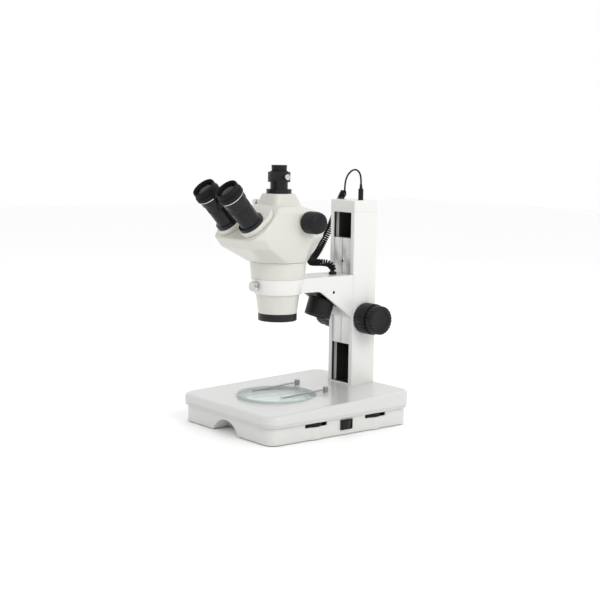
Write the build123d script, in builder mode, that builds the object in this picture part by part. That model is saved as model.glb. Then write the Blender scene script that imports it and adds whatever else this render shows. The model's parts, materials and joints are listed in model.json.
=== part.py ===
"""Stereo microscope: base with two lights, column, focusing arm and trinocular zoom head.

Millimetres. X is the user's right, Y runs to the back and Z is up. The optical axis is X = Y = 0 and
the microscope rests on Z = 0. Each sub-part is exported as its own STEP file.
"""
import os
from math import acos, cos, pi, radians, sin, tan

from build123d import *

# ---------------------------------------------------------------- driving sizes: base
foot_height = 1.5
base_width = 242
base_front = -105
base_back = 187
corner_radius = 22
plate_overhang = 5
trim_inset = 0.8
trim_width = 9
shell_height = 27
shell_wall = 3
deck_thickness = 2.5
trim_height = 4.5
plate_front_height = 13
plate_back_height = 23.5
plate_wall = 4
plate_edge_radius = 5
cover_thickness = 2
cover_clearance = 0.2
foot_radius = 9
foot_inset = 26
cover_screw_inset = 16
cover_screw_radius = 1.5
cover_screw_length = 17
cover_screw_head = 0.9
cover_boss_radius = 5
screw_clearance = 0.05

# stage
stage_radius = 64
stage_thickness = 5
stage_clearance = 0.3
seat_depth_at_front = 0.4
seat_ring_radius = 71
seat_ring_thickness = 5
light_hole_radius = 50
notch_radius = 5
notch_angle = -98
diffuser_radius = 56
diffuser_thickness = 2.5
light_board_radius = 44
board_thickness = 1.6
light_board_gap = 4.5
board_post_radius = 3
board_post_step = 16
led_size = 3
led_height = 1
clip_spacing = 74
clip_post_y = 72
clip_post_radius = 2.5
clip_head_radius = 4.2
clip_length = 92
clip_width = 7
clip_thickness = 0.8
clip_head_height = 4
clip_toe = 5

# hand-hold, dimmers and switch in the base
arch_width = 66
arch_height = 20
arch_depth = 30
wheel_positions = (-12, 110)
wheel_radius = 21
wheel_thickness = 4.5
wheel_proud = 2
wheel_height = 23.5
wheel_clearance = 0.4
wheel_notches = 40
wheel_notch_radius = 0.8
slot_length = 44
slot_height = 6
boss_bulge = 2.5
boss_radius = 20
pot_radius = 8.5
pot_shaft_radius = 3
pot_shaft_length = 8
board_width = 22
board_gap = 2
switch_y = 48.5
switch_height = 16
switch_width = 24
switch_bezel = 2
switch_depth = 16
rocker_length = 18
rocker_width = 11.5
rocker_gap = 1
rocker_pivot_depth = 3
rocker_back = 4
rocker_end = 4.5
rocker_middle = 6
rocker_pin_radius = 1.2
rocker_pin_length = 13.6
inlet_x = -60
inlet_width = 27
inlet_height = 20
inlet_depth = 20
inlet_flange = 2
inlet_socket_depth = 14

# column and slide
column_width = 60
column_depth = 50
column_front = 133
column_wall = 8
column_length = 286.5
column_sink = 1
foot_floor = 3.5
cap_height = 20
cap_wall = 4
groove_depth = 3
groove_start = 6
groove_width = 6
slide_clearance = 0.05
carriage_recess = 1.5
carriage_thickness = 13
carriage_length = 175.5
carriage_bottom = 122.5
column_bolt_radius = 2.5
column_bolt_x = (-26, 26)
column_bolt_y = (152, 170)
column_bolt_reach = 25
column_bolt_head = 4.5
column_edge = 1.5
cap_edge = 1.2
jack_radius = 4
jack_length = 12
seam_width = 1.2
seam_depth = 0.8

# focusing drive
gear_module = 1
pinion_teeth = 16
pinion_width = 16
rack_width = 12
rack_back = 4
rack_length = 160
tooth_share = 0.38
tooth_height = 0.8
root_depth = 1
gear_flank_angle = 75
rack_flank_angle = 20
focus_height = 166
shaft_radius = 4
bush_radius = 7
bush_proud = 0.6
shaft_grip = 18
dish_depth = 1.5
focus_barrel_radius = 25.5
focus_barrel_length = 24
focus_disc_radius = 23.5
focus_disc_length = 15.5
knob_gap = 1.2
flute_count = 26
flute_radius = 1.6

# arm, ring and lamp
arm_top = 238.5
ring_height = 24
ring_radius_top = 42.6
ring_radius_bottom = 38.4
ring_bore = 35.2
running_clearance = 0.1
arm_wall = 5
arm_roof = 6
arm_back_wall = 8
arm_foot_height = 71
arm_column_gap = 0.4
arm_knee = 64
arm_knee_radius = 25
lamp_bay_front = 56
arm_boss_width = 30
arm_boss_height = 55
arm_bolt_radius = 2.5
arm_bolt_head = 4.2
arm_bolt_reach = 8
arm_bolt_heights = (188, 222)
stop_screw_height = 259.5
stop_screw_radius = 2.4
set_screw_radius = 2.5
set_screw_y = 92
set_screw_height = 212.5
clamp_screw_height = 228
clamp_head_radius = 7.5
clamp_head_length = 9
clamp_shank_radius = 3
clamp_shank_length = 8.4
lamp_y = 87
lamp_height = 185
lamp_radius = 21.5
lamp_length = 30
lamp_wall = 2.5
lamp_tilt = 20
lamp_ear_width = 16
lamp_ear_thickness = 4
lamp_pin_radius = 3
lamp_ear_gap = 4.3
lamp_lug_half = 4
lamp_lug_radius = 7
lamp_lug_length = 9
lug_overlap = 1
lamp_edge = 3

# head
nose_bottom = 171.5
objective_ring_height = 12
objective_ring_radius = 31
objective_thread_radius = 24
nose_top_radius = 34.8
head_base = 265.5
neck_radius = 45
neck_bore = 27
lens_radius = 26.9
lens_thickness = 6
head_wall = 3
head_mid = 290
head_wide = 306
head_half = 61
head_back = 61
head_top = 353.5
hump_height = 19
hump_bottom_half = 29
hump_top_half = 21
hump_bottom_corner = 10
hump_top_corner = 8
hump_overlap = 2
tube_incline = 48
tube_half_spacing = 30
tube_foot_y = -74.6
tube_foot_height = 328
housing_thickness = 8
housing_radius = 26.3
housing_tube_radius = 22
pivot_inset = 3
pivot_rise = 13.7
spigot_radius = 12
spigot_length = 6
head_reach = 100
flange_radius = 20.5
flange_thickness = 5.5
tube_radius = 16.6
tube_bore = 15.05
barrel_radius = 15
tube_length = 46
dioptre_start = 31
dioptre_radius = 16.9
dioptre_wall = 1
eyepiece_radius = 18.4
eyepiece_length = 22
barrel_length = 26
eyecup_radius = 20.5
eyecup_start = 11
eyecup_length = 17
eyecup_collar_length = 7
eyecup_rim_radius = 18.8
eyecup_bore = 13

# zoom, camera tube and light-path knob
zoom_y = 12
zoom_height = 330
zoom_shaft_radius = 4
zoom_knob_radius = 17.4
zoom_knob_length = 28
zoom_knob_edge = 4
zoom_shaft_half = 75.4
zoom_grip = 14
port_flange_radius = 20
port_flange_height = 7
port_neck_radius = 14
port_neck_height = 11
port_collar_radius = 17.8
port_collar_height = 16
port_lip_height = 1.5
port_bore = 11.65
port_plug_radius = 11.6
port_plug_depth = 14
port_plug_height = 9
port_plug_edge = 0.8
port_ledge = 2
port_screw_gap = 0.3
port_screw_radius = 2
port_screw_head = 4.6
port_screw_head_length = 4
path_rod_y = -15
path_rod_height = 358
path_rod_radius = 2.2
path_knob_radius = 4
path_knob_length = 9
path_knob_start = 36
path_rod_length = 18

# lamp cord
gland_x = 2
gland_y = 112
gland_radius = 6.5
gland_height = 4.5
gland_edge = 1.5
gland_spigot_radius = 4
coil_diameter = 12.4
cord_diameter = 3
plug_x = 16
plug_radius = 4.2
plug_length = 18
relief_length = 8
plug_relief_radius = 2.6

# ---------------------------------------------------------------- worked-out places
base_depth = base_back - base_front
base_center = (base_front + base_back) / 2
shell_top = foot_height + shell_height
plate_bottom = shell_top + trim_height
plate_slope = (plate_back_height - plate_front_height) / base_depth
shell_side = base_width / 2 - plate_overhang
shell_front = base_front + plate_overhang
shell_back = base_back - plate_overhang
cover_top = foot_height + cover_thickness


def plate_height(y):
    """Height of the sloping top plate at y."""
    return plate_bottom + plate_front_height + plate_slope * (y - base_front)


seat_height = plate_height(-stage_radius) - seat_depth_at_front
stage_top = seat_height + stage_thickness
column_foot = plate_height(column_front) - column_sink
column_top = column_foot + column_length
column_center = column_front + column_depth / 2
cavity_half = column_width / 2 - column_wall
carriage_front = column_front + carriage_recess
carriage_back = carriage_front + carriage_thickness
carriage_half = cavity_half - slide_clearance
pitch_radius = gear_module * pinion_teeth / 2
pitch_line = carriage_back + rack_back
shaft_y = pitch_line + pitch_radius
ring_bottom = arm_top - ring_height
cap_top = column_top + cap_height
hump_top = head_top + hump_height
clip_height = stage_top + 4

tube_axis = Vector(0, -cos(radians(tube_incline)), sin(radians(tube_incline)))
face_up = Vector(0, sin(radians(tube_incline)), cos(radians(tube_incline)))
tube_foot = Vector(0, tube_foot_y, tube_foot_height)
head_face = tube_foot - tube_axis * (housing_thickness + running_clearance)

slope_plane = Plane(
    origin=(0, base_front, plate_bottom + plate_front_height),
    x_dir=(1, 0, 0),
    z_dir=(0, -plate_slope, 1),
)


def base_outline(inset):
    """The base's rounded outline, drawn in the sketch in hand."""
    with Locations((0, base_center)):
        RectangleRounded(base_width - 2 * inset, base_depth - 2 * inset, corner_radius - inset)


def corner_points(inset):
    """Centres of four fasteners or feet, one near each corner of the base."""
    half = base_width / 2 - inset
    return [(x, y) for x in (-half, half) for y in (base_front + inset, base_back - inset)]


# ---------------------------------------------------------------- base
arch_radius = ((arch_width / 2) ** 2 + arch_height**2) / (2 * arch_height)
arch_floor = arch_radius - arch_height
arch_plane = Plane(
    origin=(0, shell_front, foot_height - arch_floor),
    x_dir=(1, 0, 0),
    z_dir=(0, -1, 0),
)
wheel_x = shell_side + wheel_proud - wheel_radius
slot_bottom = wheel_height - slot_height / 2
screw_points = corner_points(cover_screw_inset)
switch_z = foot_height + shell_height / 2 + 2
inlet_z = foot_height + shell_height / 2
switch_plane = Plane(origin=(shell_side, switch_y, switch_z), x_dir=(0, 1, 0), z_dir=(1, 0, 0))
inlet_plane = Plane(origin=(inlet_x, shell_back, inlet_z), x_dir=(-1, 0, 0), z_dir=(0, 1, 0))


def arch_face(radius):
    """A round arch of this radius, cut off level at the base's bottom edge."""
    Circle(radius)
    with Locations((0, arch_floor + radius)):
        Rectangle(3 * radius, 2 * radius, mode=Mode.INTERSECT)


with BuildPart() as base_shell:
    with BuildSketch(Plane.XY.offset(foot_height)):
        base_outline(plate_overhang)
    extrude(amount=shell_height)
    with BuildSketch(Plane.XY.offset(foot_height)):
        with Locations(*[(shell_side + boss_bulge - boss_radius, y) for y in wheel_positions]):
            Circle(boss_radius)
    extrude(amount=slot_bottom - foot_height)
    with BuildSketch(Plane.XY.offset(foot_height)):
        base_outline(plate_overhang + shell_wall)
    extrude(amount=shell_height - deck_thickness, mode=Mode.SUBTRACT)
    with BuildSketch(Plane.XY.offset(shell_top)):
        Circle(diffuser_radius + plate_wall)
    extrude(amount=-deck_thickness, mode=Mode.SUBTRACT)
    with BuildSketch(arch_plane):
        arch_face(arch_radius + shell_wall)
    extrude(amount=-(arch_depth + shell_wall))
    with BuildSketch(arch_plane):
        arch_face(arch_radius)
    extrude(amount=-arch_depth, mode=Mode.SUBTRACT)
    with BuildSketch(Plane.XY.offset(cover_top)):
        with Locations(*screw_points):
            Circle(cover_boss_radius)
    extrude(amount=shell_top - deck_thickness - cover_top)
    with BuildSketch(Plane.XY.offset(cover_top)):
        with Locations(*screw_points):
            Circle(cover_screw_radius + screw_clearance)
    extrude(amount=cover_screw_length, mode=Mode.SUBTRACT)
    with BuildSketch(Plane.YZ.offset(shell_side + boss_bulge)):
        with Locations(*[(y, wheel_height) for y in wheel_positions]):
            RectangleRounded(slot_length, slot_height, slot_height / 3)
    extrude(amount=-(boss_bulge + shell_wall), mode=Mode.SUBTRACT)
    with BuildSketch(switch_plane):
        Rectangle(switch_width - 2 * switch_bezel, switch_height - 2)
    extrude(amount=-shell_wall, mode=Mode.SUBTRACT)
    with BuildSketch(inlet_plane):
        Rectangle(inlet_width - 3, inlet_height - 3)
    extrude(amount=-shell_wall, mode=Mode.SUBTRACT)

with BuildPart() as trim_band:
    with BuildSketch(Plane.XY.offset(shell_top)):
        base_outline(trim_inset)
        with Locations((0, base_center)):
            RectangleRounded(
                base_width - 2 * trim_width,
                base_depth - 2 * trim_width,
                corner_radius - trim_width,
                mode=Mode.SUBTRACT,
            )
    extrude(amount=trim_height)

seat_ring_bottom = seat_height - seat_ring_thickness
with BuildPart() as plate_hollow:
    with BuildSketch(Plane.XY.offset(plate_bottom)):
        base_outline(trim_width)
    extrude(amount=plate_back_height + plate_wall)
    split(bisect_by=slope_plane.offset(-plate_wall), keep=Keep.BOTTOM)
    with BuildSketch(Plane.XY.offset(seat_ring_bottom)):
        Circle(seat_ring_radius)
        with Locations((0, column_center)):
            Rectangle(column_width + 4 * plate_wall, column_depth + 4 * plate_wall)
    extrude(amount=plate_back_height, mode=Mode.SUBTRACT)

with BuildPart() as top_plate:
    with BuildSketch(Plane.XY.offset(plate_bottom)):
        base_outline(0)
    extrude(amount=plate_back_height + plate_wall)
    split(bisect_by=slope_plane, keep=Keep.BOTTOM)
    fillet(faces().sort_by(Axis.Z)[-1].edges(), radius=plate_edge_radius)
    add(plate_hollow.part, mode=Mode.SUBTRACT)
    with BuildSketch(Plane.XY.offset(seat_height)):
        Circle(stage_radius + stage_clearance)
        with PolarLocations(stage_radius + stage_clearance, 1, start_angle=notch_angle):
            Circle(notch_radius)
    extrude(amount=plate_back_height, mode=Mode.SUBTRACT)
    with BuildSketch(Plane.XY.offset(plate_bottom)):
        Circle(light_hole_radius)
    extrude(amount=plate_back_height, mode=Mode.SUBTRACT)
    with BuildSketch(Plane.XY.offset(column_foot)):
        with Locations((0, column_center)):
            Rectangle(column_width, column_depth)
    extrude(amount=plate_back_height, mode=Mode.SUBTRACT)
    with BuildSketch(Plane.XY.offset(plate_bottom)):
        with Locations(*[(x * clip_spacing / 2, clip_post_y) for x in (-1, 1)]):
            Circle(clip_post_radius)
        with Locations(*[(x, y) for x in column_bolt_x for y in column_bolt_y]):
            Circle(column_bolt_radius)
    extrude(amount=plate_back_height, mode=Mode.SUBTRACT)

light_posts = PolarLocations(light_board_radius - 8, 3).locations
with BuildPart() as bottom_cover:
    with BuildSketch(Plane.XY.offset(foot_height)):
        base_outline(plate_overhang + shell_wall + cover_clearance)
        with Locations((0, shell_front)):
            Rectangle(
                arch_width + 2 * shell_wall + 4,
                2 * (arch_depth + shell_wall + cover_clearance),
                mode=Mode.SUBTRACT,
            )
    extrude(amount=cover_thickness)
    with BuildSketch(Plane.XY.offset(foot_height)):
        with Locations(*screw_points):
            Circle(cover_screw_radius + screw_clearance)
    extrude(amount=cover_thickness, mode=Mode.SUBTRACT)
    with BuildSketch(Plane.XY.offset(cover_top)):
        with Locations(*light_posts):
            Circle(board_post_radius)
    extrude(amount=light_board_gap)
    with BuildSketch(Plane.XY.offset(cover_top)):
        with Locations(*[(wheel_x, y + s * board_post_step) for y in wheel_positions for s in (-1, 1)]):
            Circle(board_post_radius)
    extrude(amount=board_gap)

with BuildPart() as rubber_feet:
    with BuildSketch():
        with Locations(*corner_points(foot_inset)):
            Circle(foot_radius)
    extrude(amount=foot_height)

with BuildPart() as bottom_screws:
    with BuildSketch(Plane.XY.offset(foot_height)):
        with Locations(*screw_points):
            Circle(2 * cover_screw_radius)
    extrude(amount=-cover_screw_head)
    with BuildSketch(Plane.XY.offset(foot_height)):
        with Locations(*screw_points):
            Circle(cover_screw_radius)
    extrude(amount=cover_screw_length)

# ---------------------------------------------------------------- stage and its lights
with BuildPart() as stage_glass:
    with BuildSketch(Plane.XY.offset(seat_height)):
        Circle(stage_radius)
    extrude(amount=stage_thickness)
    chamfer(edges().filter_by(GeomType.CIRCLE), length=0.4)

with BuildPart() as lower_diffuser:
    with BuildSketch(Plane.XY.offset(seat_ring_bottom - diffuser_thickness)):
        Circle(diffuser_radius)
    extrude(amount=diffuser_thickness)

with BuildPart() as lower_light_board:
    with BuildSketch(Plane.XY.offset(cover_top + light_board_gap)):
        Circle(light_board_radius)
    extrude(amount=board_thickness)
    with BuildSketch(Plane.XY.offset(cover_top + light_board_gap + board_thickness)):
        for ring, count in ((12, 6), (24, 12), (36, 18)):
            with PolarLocations(ring, count):
                Rectangle(led_size, led_size)
    extrude(amount=led_height)

clip_collar_bottom = plate_height(clip_post_y + clip_head_radius)
clip_cap_bottom = clip_height + clip_thickness + running_clearance
with BuildPart() as clip_posts:
    for side in (-1, 1):
        with Locations((side * clip_spacing / 2, clip_post_y, plate_bottom + plate_front_height)):
            Cylinder(
                clip_post_radius,
                clip_height + 2 * clip_thickness - plate_bottom - plate_front_height,
                align=(Align.CENTER, Align.CENTER, Align.MIN),
            )
        with Locations((side * clip_spacing / 2, clip_post_y, clip_collar_bottom)):
            Cylinder(
                clip_head_radius,
                clip_height - running_clearance - clip_collar_bottom,
                align=(Align.CENTER, Align.CENTER, Align.MIN),
            )
        with Locations((side * clip_spacing / 2, clip_post_y, clip_cap_bottom)):
            Cylinder(clip_head_radius, clip_head_height, align=(Align.CENTER, Align.CENTER, Align.MIN))


def stage_clip(side):
    """A flat spring clip that turns on its post and bears on the glass near its tip."""
    x = side * clip_spacing / 2
    tip = clip_post_y - clip_length
    bend = clip_post_y - 2 * clip_head_radius
    low = stage_top + running_clearance
    lower = [
        (clip_post_y + clip_head_radius, clip_height),
        (bend, clip_height),
        (tip + clip_toe, low),
        (tip, low + clip_toe / 3),
    ]
    upper = [(y, z + clip_thickness) for y, z in reversed(lower)]
    with BuildPart() as clip:
        with BuildSketch(Plane.YZ.offset(x)):
            with BuildLine():
                Polyline(*lower, *upper, close=True)
            make_face()
        extrude(amount=clip_width / 2, both=True)
        with Locations((x, clip_post_y, clip_height)):
            Cylinder(clip_head_radius, clip_thickness, align=(Align.CENTER, Align.CENTER, Align.MIN))
            Cylinder(clip_post_radius + screw_clearance, 4 * clip_thickness, mode=Mode.SUBTRACT)
    return clip.part


stage_clips = {side: stage_clip(side) for side in (-1, 1)}

# ---------------------------------------------------------------- dimmers, switch and inlet
board_bottom = cover_top + board_gap
board_top = board_bottom + board_thickness
wheel_bottom = wheel_height - wheel_thickness / 2
pot_top = wheel_bottom - wheel_clearance
board_length = wheel_positions[1] - wheel_positions[0] + 2 * board_width

with BuildPart() as control_board:
    with BuildSketch(Plane.XY.offset(board_bottom)):
        with Locations((wheel_x, sum(wheel_positions) / 2)):
            Rectangle(board_width, board_length)
    extrude(amount=board_thickness)
    with BuildSketch(Plane.XY.offset(board_top)):
        with Locations(*[(wheel_x, y) for y in wheel_positions]):
            Circle(pot_radius)
    extrude(amount=pot_top - board_top)
    with BuildSketch(Plane.XY.offset(pot_top)):
        with Locations(*[(wheel_x, y) for y in wheel_positions]):
            Circle(pot_shaft_radius + screw_clearance)
    extrude(amount=-(pot_shaft_length + wheel_clearance), mode=Mode.SUBTRACT)


def dimmer_wheel(y):
    """A thumbwheel with its shaft, which turns in a dimmer on the control board."""
    with BuildPart() as wheel:
        with BuildSketch(Plane.XY.offset(wheel_bottom)):
            with Locations((wheel_x, y)):
                Circle(wheel_radius)
                with PolarLocations(wheel_radius, wheel_notches):
                    Circle(wheel_notch_radius, mode=Mode.SUBTRACT)
        extrude(amount=wheel_thickness)
        with BuildSketch(Plane.XY.offset(wheel_bottom)):
            with Locations((wheel_x, y)):
                Circle(pot_shaft_radius)
        extrude(amount=-pot_shaft_length)
    return wheel.part


dimmer_wheels = [dimmer_wheel(y) for y in wheel_positions]

rocker_pivot_x = shell_side - rocker_pivot_depth
with BuildPart() as switch_housing:
    with BuildSketch(switch_plane):
        RectangleRounded(switch_width, switch_height, 1)
    extrude(amount=switch_bezel)
    with BuildSketch(switch_plane):
        Rectangle(switch_width - 2 * switch_bezel, switch_height - 2)
    extrude(amount=-switch_depth)
    with BuildSketch(switch_plane.offset(switch_bezel)):
        Rectangle(rocker_length + 2 * rocker_gap, rocker_width + 2 * screw_clearance)
    extrude(amount=-(switch_bezel + rocker_pivot_depth + rocker_back), mode=Mode.SUBTRACT)
    with Locations((rocker_pivot_x, switch_y, switch_z)):
        Cylinder(rocker_pin_radius + screw_clearance, switch_height, mode=Mode.SUBTRACT)

rocker_plane = Plane(
    origin=(rocker_pivot_x, switch_y, switch_z - rocker_width / 2),
    x_dir=(0, 1, 0),
    z_dir=(0, 0, 1),
)
with BuildPart() as switch_rocker:
    with BuildSketch(rocker_plane):
        with BuildLine():
            Polyline(
                (-rocker_length / 2, -rocker_end),
                (0, -rocker_middle),
                (rocker_length / 2, -rocker_end),
                (rocker_length / 4, rocker_back / 2),
                (-rocker_length / 4, rocker_back / 2),
                close=True,
            )
        make_face()
    extrude(amount=rocker_width)
    with Locations((rocker_pivot_x, switch_y, switch_z)):
        Cylinder(rocker_pin_radius, rocker_pin_length)

with BuildPart() as power_inlet:
    with BuildSketch(inlet_plane):
        RectangleRounded(inlet_width, inlet_height, 2)
    extrude(amount=inlet_flange)
    with BuildSketch(inlet_plane):
        Rectangle(inlet_width - 3, inlet_height - 3)
    extrude(amount=-inlet_depth)
    with BuildSketch(inlet_plane.offset(inlet_flange)):
        RectangleRounded(inlet_width - 7, inlet_height - 8, 2)
    extrude(amount=-(inlet_flange + inlet_socket_depth), mode=Mode.SUBTRACT)
    with BuildSketch(inlet_plane.offset(-inlet_socket_depth)):
        with Locations((-6, -1), (0, 2), (6, -1)):
            Rectangle(2, 4)
    extrude(amount=inlet_socket_depth - 3)

# ---------------------------------------------------------------- column
groove_middle = column_front + groove_start + groove_width / 2
with BuildPart() as column:
    with BuildSketch(Plane.XY.offset(column_foot)):
        with Locations((0, column_center)):
            RectangleRounded(column_width, column_depth, column_edge)
        with Locations((0, column_center - column_wall / 2)):
            Rectangle(2 * cavity_half, column_depth - column_wall, mode=Mode.SUBTRACT)
        with Locations((0, groove_middle)):
            Rectangle(2 * (cavity_half + groove_depth), groove_width, mode=Mode.SUBTRACT)
    extrude(amount=column_length)
    with BuildSketch(Plane.XY.offset(column_foot)):
        with Locations((0, column_center)):
            Rectangle(column_width - 2 * column_edge, column_depth - 2 * column_edge)
    extrude(amount=foot_floor)
    with BuildSketch(Plane.XY.offset(column_foot)):
        with Locations(*[(x, y) for x in column_bolt_x for y in column_bolt_y]):
            Circle(column_bolt_radius)
    extrude(amount=column_bolt_reach, mode=Mode.SUBTRACT)
    with BuildSketch(Plane.YZ.offset(-column_width / 2)):
        with Locations((shaft_y, focus_height)):
            Circle(bush_radius)
    extrude(amount=column_width, mode=Mode.SUBTRACT)

with BuildPart() as column_bolts:
    with BuildSketch(Plane.XY.offset(seat_ring_bottom)):
        with Locations(*[(x, y) for x in column_bolt_x for y in column_bolt_y]):
            Circle(column_bolt_radius)
    extrude(amount=column_foot + column_bolt_reach - seat_ring_bottom)
    with BuildSketch(Plane.XY.offset(seat_ring_bottom)):
        with Locations(*[(x, y) for x in column_bolt_x for y in column_bolt_y]):
            RegularPolygon(column_bolt_head, 6)
    extrude(amount=-column_bolt_radius)

with BuildPart() as column_cap:
    with BuildSketch(Plane.XY.offset(column_top)):
        with Locations((0, column_center)):
            RectangleRounded(column_width, column_depth, column_edge)
    extrude(amount=cap_height)
    fillet(faces().sort_by(Axis.Z)[-1].edges(), radius=cap_edge)
    with BuildSketch(Plane.XY.offset(column_top)):
        with Locations((0, column_center)):
            Rectangle(column_width - 2 * cap_wall, column_depth - 2 * cap_wall)
    extrude(amount=cap_height - cap_wall, mode=Mode.SUBTRACT)
    with BuildSketch(Plane.XY.offset(cap_top)):
        with Locations((plug_x, column_center)):
            Circle(jack_radius)
    extrude(amount=-cap_wall, mode=Mode.SUBTRACT)

with BuildPart() as power_jack:
    with BuildSketch(Plane.XY.offset(cap_top)):
        with Locations((plug_x, column_center)):
            Circle(jack_radius)
    extrude(amount=-jack_length)
    with BuildSketch(Plane.XY.offset(cap_top - cap_wall)):
        with Locations((plug_x, column_center)):
            Circle(jack_radius + 1.5)
    extrude(amount=-2)

with BuildPart() as shaft_bushes:
    for side in (-1, 1):
        with BuildSketch(Plane.YZ.offset(side * cavity_half)):
            with Locations((shaft_y, focus_height)):
                Circle(bush_radius)
                Circle(shaft_radius + screw_clearance, mode=Mode.SUBTRACT)
        extrude(amount=side * (column_wall + bush_proud))

# ---------------------------------------------------------------- carriage and drive
rack_bottom = carriage_bottom + (carriage_length - rack_length) / 2
gear_pitch = pi * gear_module
tooth_half = gear_pitch * tooth_share / 2
flank = tan(radians(rack_flank_angle))
pinion_root_half = tooth_half + root_depth * tan(radians(90 - gear_flank_angle))


def rack_teeth():
    """Heights of the rack's teeth, one of them level with the pinion."""
    below = int((focus_height - rack_bottom) / gear_pitch - 0.5)
    above = int((rack_bottom + rack_length - focus_height) / gear_pitch - 0.5)
    return [focus_height + step * gear_pitch for step in range(-below, above + 1)]


with BuildPart() as slide_plate:
    with BuildSketch(Plane.XY.offset(carriage_bottom)):
        with Locations((0, (carriage_front + carriage_back) / 2)):
            Rectangle(2 * carriage_half, carriage_thickness)
        with Locations((0, groove_middle)):
            Rectangle(2 * (carriage_half + groove_depth), groove_width - 2 * slide_clearance)
        with Locations((0, carriage_front)):
            Rectangle(seam_width, 2 * seam_depth, mode=Mode.SUBTRACT)
    extrude(amount=carriage_length)
    with BuildSketch(Plane.XZ.offset(-carriage_front)):
        with Locations(*[(0, z) for z in arm_bolt_heights]):
            Circle(arm_bolt_radius)
        with Locations((0, stop_screw_height)):
            Circle(stop_screw_radius)
    extrude(amount=-arm_bolt_reach, mode=Mode.SUBTRACT)

with BuildPart() as slide_rack:
    with BuildSketch(Plane.YZ):
        with BuildLine():
            Polyline(
                (carriage_back, rack_bottom),
                (pitch_line - root_depth, rack_bottom),
                (pitch_line - root_depth, rack_bottom + rack_length),
                (carriage_back, rack_bottom + rack_length),
                close=True,
            )
        make_face()
        for height in rack_teeth():
            with BuildLine():
                Polyline(
                    (pitch_line - root_depth, height - tooth_half - root_depth * flank),
                    (pitch_line + tooth_height, height - tooth_half + tooth_height * flank),
                    (pitch_line + tooth_height, height + tooth_half - tooth_height * flank),
                    (pitch_line - root_depth, height + tooth_half + root_depth * flank),
                    close=True,
                )
            make_face()
    extrude(amount=rack_width / 2, both=True)

pinion_plane = Plane(origin=(0, shaft_y, focus_height), x_dir=(0, 1, 0), z_dir=(1, 0, 0))
shaft_half = column_width / 2 + knob_gap + shaft_grip
with BuildPart() as pinion_shaft:
    with BuildSketch(pinion_plane.offset(-shaft_half)):
        Circle(shaft_radius)
    extrude(amount=2 * shaft_half)
    with BuildSketch(pinion_plane.offset(-pinion_width / 2)):
        Circle(pitch_radius - root_depth)
        with PolarLocations(0, pinion_teeth, start_angle=180 / pinion_teeth):
            with Locations((pitch_radius + (tooth_height - root_depth) / 2, 0)):
                Trapezoid(
                    2 * pinion_root_half,
                    tooth_height + root_depth,
                    gear_flank_angle,
                    rotation=-90,
                )
    extrude(amount=pinion_width)


def fluted_disc(plane, radius, length):
    """A round grip with evenly spaced flutes, extruded from the plane."""
    with BuildPart() as grip:
        with BuildSketch(plane):
            Circle(radius)
            with PolarLocations(radius + flute_radius / 2, flute_count):
                Circle(flute_radius, mode=Mode.SUBTRACT)
        extrude(amount=length)
    return grip.part


def side_plane(side, x):
    """A plane square to the focus shaft at this distance from the middle."""
    return Plane(
        origin=(side * x, shaft_y, focus_height),
        x_dir=(0, 1, 0),
        z_dir=(side, 0, 0),
    )


knob_start = column_width / 2 + knob_gap
disc_start = knob_start + focus_barrel_length


def focus_knob(side):
    """The ribbed barrel that turns the pinion shaft."""
    with BuildPart() as knob:
        add(fluted_disc(side_plane(side, knob_start), focus_barrel_radius, focus_barrel_length))
        with BuildSketch(side_plane(side, knob_start)):
            Circle(shaft_radius)
        extrude(amount=shaft_grip, mode=Mode.SUBTRACT)
    return knob.part


focus_knobs = {side: focus_knob(side) for side in (-1, 1)}

with BuildPart() as focus_discs:
    for side in (-1, 1):
        add(fluted_disc(side_plane(side, disc_start), focus_disc_radius, focus_disc_length))
        with BuildSketch(side_plane(side, disc_start + focus_disc_length)):
            Circle(focus_disc_radius - 4 * flute_radius)
        extrude(amount=-dish_depth, taper=30, mode=Mode.SUBTRACT)

# ---------------------------------------------------------------- arm, clamp screw and lamp
arm_back = column_front - arm_column_gap
arm_foot = arm_top - arm_foot_height
arm_underside = ring_bottom + 1
lamp_axis = Vector(0, -sin(radians(lamp_tilt)), -cos(radians(lamp_tilt)))
lamp_center = Vector(0, lamp_y, lamp_height)
lamp_top = lamp_center - lamp_axis * (lamp_length / 2)
lamp_pivot = lamp_top - lamp_axis * lamp_lug_length
arm_ceiling = arm_top - arm_roof
bay_back = arm_back - arm_back_wall
bay_middle = (lamp_bay_front + bay_back) / 2

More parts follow.
